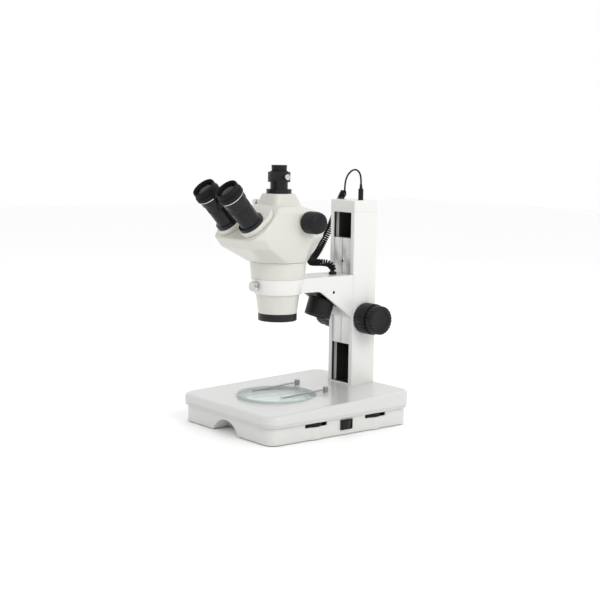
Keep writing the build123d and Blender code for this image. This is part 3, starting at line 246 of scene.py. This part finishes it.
class Finish:
    """One material: a principled shader and the nodes that vary it over the surface."""

    def __init__(self, name, colour, roughness, **constants):
        self.material = bpy.data.materials.new(name)
        self.material.use_nodes = True
        self.tree = self.material.node_tree
        self.shader = self.tree.nodes["Principled BSDF"]
        self.colour = tuple(colour)
        self.roughness = roughness
        self.feed("Base Color", (*self.colour, 1))
        self.feed("Roughness", roughness)
        for socket, value in constants.items():
            self.feed(socket.replace("_", " "), value)
        self.coordinates = self.node("ShaderNodeTexCoord").outputs["Object"]
        self.heights = []

    def node(self, kind, settings=None, inputs=None):
        """A node of this type, with its settings made first and then its sockets' values or links."""
        made = self.tree.nodes.new(kind)
        for setting, value in (settings or {}).items():
            setattr(made, setting, value)
        for key, value in (inputs or {}).items():
            self.join(made.inputs[key], value)
        return made

    def join(self, socket, value):
        value = getattr(value, "socket", value)
        if isinstance(value, bpy.types.NodeSocket):
            self.tree.links.new(value, socket)
        else:
            socket.default_value = value

    def feed(self, socket, value):
        self.join(self.shader.inputs[socket], value)

    def axes(self):
        """The place on the surface, as three varying numbers."""
        split = self.node("ShaderNodeSeparateXYZ", {}, {0: self.coordinates})
        return [Varying(self, output) for output in split.outputs]

    def noise(self, scale, detail=2.0, stretch=(1, 1, 1)):
        """Noise from 0 to 1, with its grain stretched along an axis where stretch is small."""
        place = self.node("ShaderNodeMapping", {}, {"Vector": self.coordinates, "Scale": stretch})
        inputs = {"Vector": place.outputs[0], "Scale": scale, "Detail": detail}
        return Varying(self, self.node("ShaderNodeTexNoise", {}, inputs).outputs[0])

    def tint(self, mask, other):
        """Moves the colour towards another one where the mask is 1."""
        settings = {"data_type": "RGBA"}
        mix = self.node("ShaderNodeMix", settings, {0: mask, 7: (*other, 1)})
        base = self.shader.inputs["Base Color"]
        self.join(mix.inputs[6], base.links[0].from_socket if base.links else (*self.colour, 1))
        self.feed("Base Color", mix.outputs[2])

    def dull(self, amount):
        """Adds a varying amount to the roughness."""
        base = self.shader.inputs["Roughness"]
        now = Varying(self, base.links[0].from_socket) if base.links else self.roughness
        self.feed("Roughness", now + amount)

    def emboss(self, height, depth):
        """Raises the surface by a varying height, this many metres deep."""
        inputs = {"Height": height, "Distance": depth, "Strength": 1.0}
        if self.heights:
            inputs["Normal"] = self.heights[-1]
        bump = self.node("ShaderNodeBump", {}, inputs)
        self.heights.append(bump.outputs[0])
        self.feed("Normal", bump.outputs[0])

    def paint(self, *names):
        """Puts this finish on CAD nodes by name, or on new pieces."""
        for name in names:
            mesh = bpy.data.objects[name].data
            mesh.materials.clear()
            mesh.materials.append(self.material)
        return self


def shade(colour, share):
    """A colour, made darker or lighter."""
    return tuple(min(1.0, channel * share) for channel in colour)


def enamel(name, colour, roughness=0.32, peel=0.00005):
    """Sprayed paint: faint orange peel, slow changes of gloss and a little handling dirt."""
    finish = Finish(name, colour, roughness, Coat_Weight=0.25, Coat_Roughness=0.18)
    slow = finish.noise(14, 3)
    finish.tint(slow * 0.5, shade(colour, 0.95))
    finish.dull(slow * 0.10 - 0.05)
    smudge = finish.noise(38, 4)
    finish.tint((smudge > 0.66) * 0.10, shade(colour, 0.88))
    finish.emboss(finish.noise(650, 1), peel)
    return finish


def textured_paint(name, colour):
    """Powder paint with a fine hammered grain."""
    finish = enamel(name, colour, 0.42, 0.00006)
    finish.emboss(finish.noise(1700, 2), 0.00004)
    return finish


def moulded(name, colour, roughness=0.42, grain=2600):
    """Black moulded plastic with spark-eroded grain and worn, lighter patches."""
    finish = Finish(name, colour, roughness, Specular_IOR_Level=0.22)
    slow = finish.noise(60, 3)
    finish.tint(slow * 0.5, shade(colour, 1.9))
    finish.dull(slow * 0.16 - 0.08)
    finish.emboss(finish.noise(grain, 2), 0.00005)
    return finish


def anodised(name, colour, roughness=0.27):
    """Black anodised or enamelled metal: smoother, with a thin clear coat."""
    finish = Finish(name, colour, roughness, Specular_IOR_Level=0.22, Coat_Weight=0.12)
    slow = finish.noise(90, 3)
    finish.tint(slow * 0.6, shade(colour, 2.2))
    finish.dull(slow * 0.12 - 0.06)
    finish.emboss(finish.noise(1900, 1), 0.000015)
    return finish


def rubber(name, colour):
    """Matt rubber with a pale bloom."""
    finish = Finish(name, colour, 0.62, Specular_IOR_Level=0.16)
    slow = finish.noise(120, 4)
    finish.tint(slow * 0.5, shade(colour, 2.4))
    finish.dull(slow * 0.2 - 0.1)
    finish.emboss(finish.noise(3200, 2), 0.00006)
    return finish


def metal(name, colour, roughness=0.28, stretch=(1, 1, 1)):
    """Bare metal, with its brush marks along the axis whose stretch is small."""
    finish = Finish(name, colour, roughness, Metallic=1.0)
    marks = finish.noise(900, 2, stretch)
    finish.tint(marks * 0.5, shade(colour, 0.72))
    finish.dull(marks * 0.22 - 0.11)
    finish.emboss(marks, 0.00003)
    return finish


def clear_glass(name, colour, roughness=0.02):
    """Clear glass with a few finger marks."""
    finish = Finish(name, colour, roughness, IOR=1.5, Transmission_Weight=1.0)
    marks = finish.noise(55, 4)
    finish.dull((marks > 0.6) * 0.04)
    finish.emboss(finish.noise(30, 1), 0.00001)
    return finish


def deselect():
    """Nothing is selected and no edit is open."""
    if bpy.context.object and bpy.context.object.mode != "OBJECT":
        bpy.ops.object.mode_set(mode="OBJECT")
    bpy.ops.object.select_all(action="DESELECT")


def activate(piece):
    """Only this piece is selected and active."""
    deselect()
    piece.select_set(True)
    bpy.context.view_layer.objects.active = piece


def modify(piece, kind, **settings):
    """Adds a modifier with these settings and applies it."""
    activate(piece)
    modifier = piece.modifiers.new(kind.title(), kind)
    for setting, value in settings.items():
        setattr(modifier, setting, value)
    bpy.ops.object.modifier_apply(modifier=modifier.name)


def smooth(piece, angle=35):
    """Smooth shading, with a crease where faces meet at more than this angle."""
    activate(piece)
    bpy.ops.object.shade_smooth_by_angle(angle=math.radians(angle))


def fasten(piece, body, finish, slot, *nodes):
    """Gives a finished piece its body and material, and hides the CAD nodes it stands for. The slot is not
    used.
    """
    piece.data.materials.clear()
    piece.data.materials.append(finish.material)
    piece.parent = None
    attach(piece, body)
    if nodes:
        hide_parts(*nodes)
    return piece


def slot_of(node):
    """The record's material slot of a CAD node."""
    return next(part["material_slot"] for part in frame["record"]["subparts"] if part["node"] == node)


def body_of(node):
    """The CAD body that a node belongs to."""
    return frame["nodes"][node]["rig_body"]


def copy_of(node, name):
    """A welded copy of a CAD node's mesh, ready to be shaped."""
    deselect()
    source = frame["nodes"][node]
    piece = bpy.data.objects.new(name, source.data.copy())
    bpy.context.scene.collection.objects.link(piece)
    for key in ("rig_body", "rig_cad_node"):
        if key in piece:
            del piece[key]
    activate(piece)
    bpy.ops.object.mode_set(mode="EDIT")
    bpy.ops.mesh.select_all(action="SELECT")
    bpy.ops.mesh.remove_doubles(threshold=0.000002)
    bpy.ops.mesh.customdata_custom_splitnormals_clear()
    bpy.ops.object.mode_set(mode="OBJECT")
    return piece


def soften(node, width, finish, segments=2):
    """A copy of a CAD node with its sharp edges rounded, in place of the node."""
    piece = copy_of(node, node + "_soft")
    bpy.ops.object.mode_set(mode="EDIT")
    bpy.ops.mesh.dissolve_limited(angle_limit=math.radians(0.5))
    bpy.ops.object.mode_set(mode="OBJECT")
    modify(
        piece,
        "BEVEL",
        width=width,
        segments=segments,
        limit_method="ANGLE",
        angle_limit=math.radians(38),
        use_clamp_overlap=True,
        harden_normals=False,
    )
    smooth(piece, 30)
    return fasten(piece, body_of(node), finish, slot_of(node), node)


def axis_frame(origin, axis):
    """A matrix that takes the local Z axis to this axis, at this origin."""
    return Matrix.Translation(origin) @ axis.to_track_quat("Z", "Y").to_matrix().to_4x4()


def turned(name, profile, segments, placed):
    """A disc, or a ring where the profile ends where it starts, turned from (radius, height) steps."""
    deselect()
    radius, height = profile[0]
    cap = "NOTHING" if profile[0] == profile[-1] else "NGON"
    bpy.ops.mesh.primitive_circle_add(vertices=segments, radius=radius, fill_type=cap, location=(0, 0, 0))
    piece = bpy.context.object
    piece.name = name
    bpy.ops.object.mode_set(mode="EDIT")
    bpy.ops.mesh.select_all(action="SELECT")
    bpy.ops.transform.translate(value=(0, 0, height))
    for before, after in zip(profile, profile[1:]):
        step = {"value": (0, 0, after[1] - before[1])}
        bpy.ops.mesh.extrude_region_move(TRANSFORM_OT_translate=step)
        share = after[0] / before[0]
        bpy.ops.transform.resize(value=(share, share, 1), center_override=(0, 0, after[1]))
    bpy.ops.mesh.select_all(action="SELECT")
    bpy.ops.mesh.remove_doubles(threshold=0.000001)
    bpy.ops.mesh.normals_make_consistent(inside=False)
    bpy.ops.object.mode_set(mode="OBJECT")
    piece.data.transform(placed)
    return piece


def ridge(piece, placed, segments, low, high, depth):
    """Draws in every second line of points round a turned piece, between two heights."""
    activate(piece)
    inverse = placed.inverted()
    piece.data.transform(inverse)
    bpy.ops.object.mode_set(mode="EDIT")
    mesh = bmesh.from_edit_mesh(piece.data)
    outer = max(vertex.co.xy.length for vertex in mesh.verts if low <= vertex.co.z <= high)
    for vertex in mesh.verts:
        step = round(math.atan2(vertex.co.y, vertex.co.x) / (2 * math.pi) * segments)
        between = low <= vertex.co.z <= high and vertex.co.xy.length > outer * 0.9
        vertex.select_set(between and step % 2 == 1)
    mesh.select_flush_mode()
    bmesh.update_edit_mesh(piece.data)
    share = 1 - depth / outer
    bpy.ops.transform.resize(value=(share, share, 1), center_override=(0, 0, 0))
    bpy.ops.object.mode_set(mode="OBJECT")
    piece.data.transform(placed)


def smooth_line(name, points):
    """Points read from the smooth line whose control points these are."""
    curve = bpy.data.curves.new(name, "CURVE")
    curve.dimensions = "3D"
    spline = curve.splines.new("NURBS")
    spline.points.add(len(points) - 1)
    for control, point in zip(spline.points, points):
        control.co = (*point, 1)
    spline.order_u = 3
    spline.use_endpoint_u = True
    spline.resolution_u = 12
    holder = bpy.data.objects.new(name, curve)
    bpy.context.scene.collection.objects.link(holder)
    bpy.context.view_layer.update()
    line = [vertex.co.copy() for vertex in bpy.data.meshes.new_from_object(holder).vertices]
    bpy.data.objects.remove(holder)
    return line


def along(line):
    """Distances from the start of a line to each of its points."""
    total = [0.0]
    for before, after in zip(line, line[1:]):
        total.append(total[-1] + (after - before).length)
    return total


def curled(line, turns, radius, steps=14):
    """Control points that wind round a line, drawn in to it at both ends."""
    distances = along(line)
    whole = distances[-1]
    points = []
    across = Vector((1, 0, 0))
    index = 0
    for step in range(turns * steps + 1):
        share = step / (turns * steps)
        while index < len(line) - 2 and distances[index + 1] < share * whole:
            index += 1
        run = line[index + 1] - line[index]
        part = (share * whole - distances[index]) / max(run.length, 1e-9)
        tangent = run.normalized()
        across = (across - tangent * across.dot(tangent)).normalized()
        angle = 2 * math.pi * step / steps
        reach = radius * min(1.0, min(step, turns * steps - step) / steps)
        round_line = across * math.cos(angle) + tangent.cross(across) * math.sin(angle)
        points.append(line[index] + run * part + round_line * reach)
    return points


class MICROSCOPE_OT_camera(Operator):
    """Make the camera"""

    bl_idname = "microscope.camera"
    bl_label = "Camera"

    def execute(self, context):
        deselect()
        view = context.scene.microscope_view
        level = math.cos(view.tip)
        forward = Vector(
            (-math.sin(view.turn) * level, math.cos(view.turn) * level, -math.sin(view.tip))
        )
        right = forward.cross(Vector((0, 0, 1))).normalized()
        up = right.cross(forward)
        target = right * view.aside + Vector((0, 0, view.height))
        bpy.ops.object.camera_add(location=target - forward * view.distance)
        camera = context.object
        columns = (
            right * math.cos(view.roll) + up * math.sin(view.roll),
            up * math.cos(view.roll) - right * math.sin(view.roll),
            -forward,
        )
        camera.rotation_euler = Matrix(columns).transposed().to_euler()
        camera.data.sensor_width = 36
        camera.data.lens = view.lens
        context.scene.camera = camera
        return {"FINISHED"}


class MICROSCOPE_OT_cord(Operator):
    """Make the curly lamp cord"""

    bl_idname = "microscope.cord"
    bl_label = "Lamp cord"

    def execute(self, context):
        sizes = context.scene.microscope_sizes
        colours = context.scene.microscope_colours
        axis = smooth_line("cord_axis", COIL_ROUTE)
        radius = (sizes.coil_diameter - sizes.cord_diameter) / 2
        winding = curled(axis, sizes.coil_turns, radius)
        route = winding + TAIL_ROUTE
        centre = smooth_line("cord_centre", route)
        curve = bpy.data.curves.new("cord", "CURVE")
        curve.dimensions = "3D"
        spline = curve.splines.new("NURBS")
        spline.points.add(len(route) - 1)
        for control, point in zip(spline.points, route):
            control.co = (*point, 1)
        spline.order_u = 3
        spline.use_endpoint_u = True
        spline.resolution_u = 2
        curve.bevel_depth = sizes.cord_diameter / 2
        curve.bevel_resolution = 3
        curve.use_fill_caps = True
        holder = bpy.data.objects.new("cord", curve)
        context.scene.collection.objects.link(holder)
        context.view_layer.update()
        mesh = bpy.data.meshes.new_from_object(holder)
        bpy.data.objects.remove(holder)
        cord = bpy.data.objects.new("curly_cord", mesh)
        context.scene.collection.objects.link(cord)
        smooth(cord, 60)
        jacket = rubber("Cord jacket", colours.rubber)
        cord.data.materials.append(jacket.material)
        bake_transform(cord)
        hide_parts("lamp_cord")
        return {"FINISHED"}


class MICROSCOPE_OT_base(Operator):
    """Finish the base, its trim, controls and feet"""

    bl_idname = "microscope.base"
    bl_label = "Base"

    def execute(self, context):
        sizes = context.scene.microscope_sizes
        colours = context.scene.microscope_colours
        lower = textured_paint("Base powder paint", colours.base)
        trim = textured_paint("Trim plastic", colours.trim)
        plate = enamel("Plate enamel", colours.plate, 0.2)
        plastic = moulded("Moulded black", colours.black)
        gloss = moulded("Rocker plastic", colours.black, 0.2, 1200)
        steel = metal("Zinc plate", colours.steel)
        soften("base_shell", sizes.edge / 2, lower)
        soften("trim_band", sizes.knob_edge, trim)
        soften("switch_housing", sizes.knob_edge, plastic)
        soften("switch_rocker", sizes.knob_edge, gloss)
        soften("power_inlet", sizes.knob_edge, plastic)
        soften("rubber_feet", sizes.knob_edge, rubber("Foot rubber", colours.rubber))
        plate.paint("top_plate")
        plastic.paint("dimmer_wheel_front", "dimmer_wheel_rear")
        steel.paint("bottom_screws", "column_bolts")
        enamel("Cover paint", shade(colours.black, 4), 0.5).paint("bottom_cover")
        board = enamel("Solder mask", (0.02, 0.12, 0.05), 0.4)
        board.tint((board.noise(220, 0) > 0.55) * 0.6, (0.03, 0.19, 0.08))
        board.paint("control_board", "lower_light_board")
        return {"FINISHED"}


class MICROSCOPE_OT_plate(Operator):
    """Finish the stage plate, its frosted light and its clips"""

    bl_idname = "microscope.plate"
    bl_label = "Stage plate"

    def execute(self, context):
        colours = context.scene.microscope_colours
        pane = Finish("Stage glass", colours.glass, 0.06, IOR=1.5, Coat_Weight=0.5)
        x, y = pane.axes()[:2]
        rim = (x * x + y * y) > GLASS_RIM_RADIUS**2
        pane.tint(rim, shade(colours.glass, 0.55))
        pane.feed("Alpha", rim * 0.55 + 0.25)
        pane.dull((pane.noise(55, 4) > 0.6) * 0.05)
        pane.paint("stage_glass")
        frost = Finish("Frosted plastic", (0.80, 0.84, 0.82), 0.5, Specular_IOR_Level=0.4)
        frost.tint(frost.noise(30, 3) * 0.4, (0.72, 0.78, 0.76))
        frost.emboss(frost.noise(2200, 2), 0.00004)
        frost.paint("lower_diffuser")
        spring = metal("Spring steel", shade(colours.steel, 0.45), 0.3, (1, 0.05, 1))
        spring.paint("stage_clip_left", "stage_clip_right")
        metal("Clip posts", shade(colours.steel, 0.6), 0.3).paint("clip_posts")
        return {"FINISHED"}


class MICROSCOPE_OT_column(Operator):
    """Finish the column, its slide and the focusing drive"""

    bl_idname = "microscope.column"
    bl_label = "Column and drive"

    def execute(self, context):
        sizes = context.scene.microscope_sizes
        colours = context.scene.microscope_colours
        paint = enamel("Column paint", colours.column)
        x, y, z = paint.axes()
        # painted shade: the inside of the column's hollow channel, below its top, is darkened to stand in
        # for the shade there
        shaft = (abs(x) < CAVITY_HALF_WIDTH) * (y > CAVITY_FRONT) * (y < CAVITY_BACK)
        column_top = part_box("column")[1].z - PAINT_MARGIN
        paint.tint(shaft * (z < column_top), CAVITY_SHADE_COLOUR)
        plastic = moulded("Knob plastic", colours.black, 0.36)
        brushed = metal("Brushed slide", colours.slide, 0.42, (1, 1, 0.02))
        steel = metal("Machined steel", shade(colours.steel, 0.8), 0.32, (0.05, 1, 1))
        soften("column", sizes.edge / 2, paint)
        soften("column_cap", sizes.knob_edge, paint)
        soften("slide_plate", sizes.knob_edge, brushed)
        for node in ("focus_knob_left", "focus_knob_right", "focus_discs"):
            soften(node, sizes.knob_edge, plastic)
        steel.paint("slide_rack", "pinion_shaft", "zoom_shaft")
        metal("Turned brass", colours.brass, 0.25).paint("shaft_bushes")
        plastic.paint("power_jack", "cord_plug")
        return {"FINISHED"}


class MICROSCOPE_OT_arm(Operator):
    """Finish the arm and its lamp, and make the knurled clamp screw"""

    bl_idname = "microscope.arm"
    bl_label = "Arm and lamp"

    def execute(self, context):
        sizes = context.scene.microscope_sizes
        colours = context.scene.microscope_colours
        black = anodised("Arm black", colours.black)
        soften("focus_arm", sizes.edge, enamel("Arm paint", colours.column), 3)
        soften("lamp_housing", sizes.knob_edge, moulded("Lamp plastic", colours.black, 0.38))
        soften("cord_gland", sizes.knob_edge, moulded("Gland plastic", colours.black))
        black.paint("arm_screws", "lamp_bracket")
        clear_glass("Lamp glass", (0.9, 0.93, 0.94), 0.08).paint("lamp_lens")
        placed = axis_frame(Vector((0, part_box("ring_clamp_screw")[1].y, CLAMP_HEIGHT)), Vector((0, -1, 0)))
        profile = (
            (0.0030, 0),
            (0.0030, 0.0084),
            (0.0069, 0.0084),
            (0.0075, 0.0090),
            (0.0075, 0.0162),
            (0.0069, 0.0170),
            (0.0053, 0.0174),
            (0.0048, 0.0168),
            (0.0006, 0.0167),
        )
        segments = 2 * sizes.ring_ridges
        screw = turned("clamp_screw_knurled", profile, segments, placed)
        ridge(screw, placed, segments, 0.0089, 0.0163, sizes.knurl_depth)
        smooth(screw, 25)
        chrome = metal("Plated screw", colours.steel, 0.18)
        fasten(screw, "clamp_screw", chrome, "bright_steel", "ring_clamp_screw")
        return {"FINISHED"}


class MICROSCOPE_OT_head(Operator):
    """Mould the head's two shells and finish its nose and objective"""

    bl_idname = "microscope.head"
    bl_label = "Head"

    def execute(self, context):
        sizes = context.scene.microscope_sizes
        colours = context.scene.microscope_colours
        ivory = enamel("Ivory paint", colours.head, 0.34)
        x, y, z = ivory.axes()
        mark = (x > 0.055) * (abs(y - 0.0245) < 0.0005) * (abs(z - 0.334) < 0.004)
        ivory.tint(mark, (0.02, 0.02, 0.02))
        for height in HEAD_JOINTS:
            joint = abs(z - height) < HEAD_JOINT_HALF_WIDTH
            ivory.tint(joint * 0.7, shade(colours.head, 0.3))
        left = copy_of("head_shell_left", "head_whole")
        right = copy_of("head_shell_right", "head_part")
        activate(left)
        right.select_set(True)
        bpy.ops.object.join()
        modify(left, "REMESH", mode="VOXEL", voxel_size=sizes.head_grain)
        modify(left, "SMOOTH", factor=0.5, iterations=sizes.head_rounding)
        for side, sign in SIDES.items():
            half = left.copy()
            half.data = left.data.copy()
            half.name = "head_moulding_" + side
            context.scene.collection.objects.link(half)
            activate(half)
            bpy.ops.object.mode_set(mode="EDIT")
            bpy.ops.mesh.select_all(action="SELECT")
            bpy.ops.mesh.bisect(
                plane_co=(sign * sizes.seam / 2, 0, 0),
                plane_no=(sign, 0, 0),
                use_fill=True,
                clear_inner=True,
            )
            bpy.ops.object.mode_set(mode="OBJECT")
            smooth(half, 50)
            fasten(half, "head", ivory, "head_paint", "head_shell_" + side)
        bpy.data.objects.remove(left)
        soften("nose_cone", sizes.knob_edge, ivory)
        for side in SIDES:
            soften("prism_housing_" + side, sizes.edge, ivory, 3)
        anodised("Ring black", colours.black).paint("objective_ring")
        coated = Finish("Coated lens", (0.03, 0.03, 0.06), 0.03, Coat_Weight=1.0, IOR=1.6)
        coated.tint(coated.noise(20, 1) * 0.6, (0.05, 0.02, 0.07))
        coated.paint("objective_lens")
        return {"FINISHED"}


class MICROSCOPE_OT_eyes(Operator):
    """Make the eyecups, eye lenses, highlight rings and knurled dioptre rings"""

    bl_idname = "microscope.eyes"
    bl_label = "Eyepieces"

    def execute(self, context):
        sizes = context.scene.microscope_sizes
        colours = context.scene.microscope_colours
        black = anodised("Tube black", colours.black)
        cup_rubber = rubber("Eyecup rubber", colours.rubber)
        steel = metal("Ring steel", colours.steel, 0.2)
        lens = Finish("Eye lens", (0.004, 0.005, 0.006), 0.25, Specular_IOR_Level=0.2)
        lens.tint(lens.noise(40, 1) * 0.5, (0.008, 0.01, 0.009))
        cup_profile = (
            (0.01602, 0.0571),
            (0.0200, 0.0571),
            (0.0204, 0.0576),
            (0.0204, 0.0634),
            (0.0201, 0.0640),
            (0.0187, 0.0646),
            (0.0185, 0.0654),
            (0.0188, 0.0664),
            (0.0188, 0.0712),
            (0.0186, 0.0728),
            (0.0181, 0.0738),
            (0.0176, 0.0740),
            (0.0171, 0.0736),
            (0.0167, 0.0722),
            (0.0164, 0.0695),
            (0.01602, 0.0660),
            (0.01602, 0.0571),
        )
        lens_profile = (
            (0.0125, 0.0681),
            (0.0125, 0.0686),
            (0.0121, 0.0690),
            (0.0090, 0.0698),
            (0.0050, 0.0703),
            (0.0010, 0.0705),
        )
        band_profile = (
            (0.01842, 0.0548),
            (0.0188, 0.0550),
            (0.0189, 0.0556),
            (0.0188, 0.0562),
            (0.01842, 0.0564),
            (0.01842, 0.0548),
        )
        ring_profile = (
            (0.01597, 0.03115),
            (0.0166, 0.03115),
            (0.0169, 0.0315),
            (0.0169, 0.0335),
            (0.0165, 0.0339),
            (0.0169, 0.0343),
            (0.0169, 0.0446),
            (0.0166, 0.0459),
            (0.01597, 0.0459),
            (0.01597, 0.03115),
        )
        ridges = 2 * sizes.ring_ridges
        for side, sign in SIDES.items():
            foot = TUBE_FOOT + Vector((sign * TUBE_HALF_SPACING, 0, 0))
            placed = axis_frame(foot, TUBE_AXIS)
            soften("eyetube_" + side, sizes.knob_edge, black)
            soften("eyepiece_" + side, sizes.knob_edge, black)
            cup = turned("eyecup_moulded_" + side, cup_profile, 96, placed)
            smooth(cup, 40)
            fasten(cup, side + "_eyepiece", cup_rubber, "eyecup_rubber", "eyecup_" + side)
            glass = turned("eye_lens_" + side, lens_profile, 64, placed)
            smooth(glass, 40)
            fasten(glass, side + "_eyepiece", lens, "lens_glass")
            band = turned("eyepiece_band_" + side, band_profile, 96, placed)
            smooth(band, 40)
            fasten(band, side + "_eyepiece", steel, "bright_steel")
            ring = turned("dioptre_knurled_" + side, ring_profile, ridges, placed)
            ridge(ring, placed, ridges, 0.0342, 0.0447, sizes.knurl_depth)
            smooth(ring, 25)
            fasten(ring, side + "_dioptre", black, "tube_metal", "dioptre_ring_" + side)
        return {"FINISHED"}


class MICROSCOPE_OT_port(Operator):
    """Finish the camera port and light-path rod, and make the ridged zoom knobs"""

    bl_idname = "microscope.port"
    bl_label = "Camera port and zoom"

    def execute(self, context):
        sizes = context.scene.microscope_sizes
        colours = context.scene.microscope_colours
        collar = anodised("Port black", colours.black)
        x, y, z = collar.axes()
        knurled = (abs(z - 0.3985) < 0.0062) * (y.angle_to(x) * 80).sine()
        collar.emboss(knurled, 0.0002)
        collar.paint("camera_tube")
        soften("camera_plug", sizes.knob_edge, moulded("Plug plastic", colours.black, 0.4))
        bright = metal("Bright rod", colours.steel, 0.16)
        soften("camera_clamp_screw", sizes.knob_edge, bright)
        soften("light_path_knob", sizes.knob_edge, bright)
        plastic = moulded("Zoom plastic", colours.black, 0.34)
        profile = (
            (0.0166, 0),
            (0.0172, 0.0005),
            (0.0172, 0.0018),
            (0.0174, 0.0022),
            (0.0174, 0.0200),
            (0.0171, 0.0206),
            (0.0166, 0.0210),
            (0.0166, 0.0232),
            (0.0160, 0.0250),
            (0.0148, 0.0264),
            (0.0125, 0.0273),
            (0.0090, 0.0278),
            (0.0040, 0.0280),
        )
        segments = 2 * sizes.zoom_ridges
        for side, sign in SIDES.items():
            low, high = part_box("zoom_knob_" + side)
            start = Vector((low.x if sign > 0 else high.x, ZOOM_AXIS.y, ZOOM_AXIS.z))
            placed = axis_frame(start, Vector((sign, 0, 0)))
            knob = turned("zoom_knob_ridged_" + side, profile, segments, placed)
            ridge(knob, placed, segments, 0.0021, 0.0201, sizes.knurl_depth)
            smooth(knob, 25)
            fasten(knob, "zoom_drive", plastic, "knob_plastic", "zoom_knob_" + side)
        return {"FINISHED"}


class MICROSCOPE_OT_stage(Operator):
    """Make the pale floor and the soft studio lights"""

    bl_idname = "microscope.stage"
    bl_label = "Floor and lights"

    def execute(self, context):
        colours = context.scene.microscope_colours
        deselect()
        bpy.ops.mesh.primitive_plane_add(size=12, location=(0, 0, 0))
        floor = context.object
        floor.name = "floor"
        pale = Finish("Pale floor", colours.floor, 0.6)
        floor.data.materials.append(pale.material)
        world = bpy.data.worlds.new("Studio")
        world.use_nodes = True
        background = world.node_tree.nodes["Background"]
        background.inputs["Color"].default_value = (1, 1, 1, 1)
        background.inputs["Strength"].default_value = 1.0
        context.scene.view_settings.view_transform = "Standard"
        context.scene.world = world
        lights = (
            ("key", (2.0, 0.1, 1.5), 1.0, 17),
            ("fill", (-1.5, -1.6, 1.2), 1.6, 1.5),
            ("back", (-0.6, 1.8, 1.6), 1.4, 4),
        )
        for name, place, size, power in lights:
            deselect()
            bpy.ops.object.light_add(type="AREA", location=place)
            light = context.object
            light.name = name
            light.data.size = size
            light.data.energy = power
            look = Vector((0, 0.02, 0.2)) - Vector(place)
            light.rotation_euler = look.to_track_quat("-Z", "Y").to_euler()
        return {"FINISHED"}


OPERATORS = (
    MICROSCOPE_OT_camera,
    MICROSCOPE_OT_cord,
    MICROSCOPE_OT_base,
    MICROSCOPE_OT_plate,
    MICROSCOPE_OT_column,
    MICROSCOPE_OT_arm,
    MICROSCOPE_OT_head,
    MICROSCOPE_OT_eyes,
    MICROSCOPE_OT_port,
    MICROSCOPE_OT_stage,
)


class MICROSCOPE_PT_panel(Panel):
    """Lists the microscope's sizes, colours and steps"""

    bl_idname = "MICROSCOPE_PT_panel"
    bl_label = "Microscope"
    bl_space_type = "VIEW_3D"
    bl_region_type = "UI"
    bl_category = "Microscope"

    def draw(self, context):
        layout = self.layout
        for group in (context.scene.microscope_sizes, context.scene.microscope_colours):
            for name in group.__annotations__:
                layout.prop(group, name)
        for operator in OPERATORS:
            layout.operator(operator.bl_idname)


GROUPS = {
    "microscope_colours": MicroscopeColours,
    "microscope_sizes": MicroscopeSizes,
    "microscope_view": MicroscopeView,
}


def register():
    for name, group in GROUPS.items():
        bpy.utils.register_class(group)
        setattr(bpy.types.Scene, name, PointerProperty(type=group))
    for operator in OPERATORS:
        bpy.utils.register_class(operator)
    bpy.utils.register_class(MICROSCOPE_PT_panel)


def unregister():
    bpy.utils.unregister_class(MICROSCOPE_PT_panel)
    for operator in reversed(OPERATORS):
        bpy.utils.unregister_class(operator)
    for name, group in reversed(GROUPS.items()):
        delattr(bpy.types.Scene, name)
        bpy.utils.unregister_class(group)


def main():
    """Makes everything in order."""
    register()
    for operator in OPERATORS:
        category, name = operator.bl_idname.split(".")
        getattr(getattr(bpy.ops, category), name)()


if __name__ == "__main__":
    main()
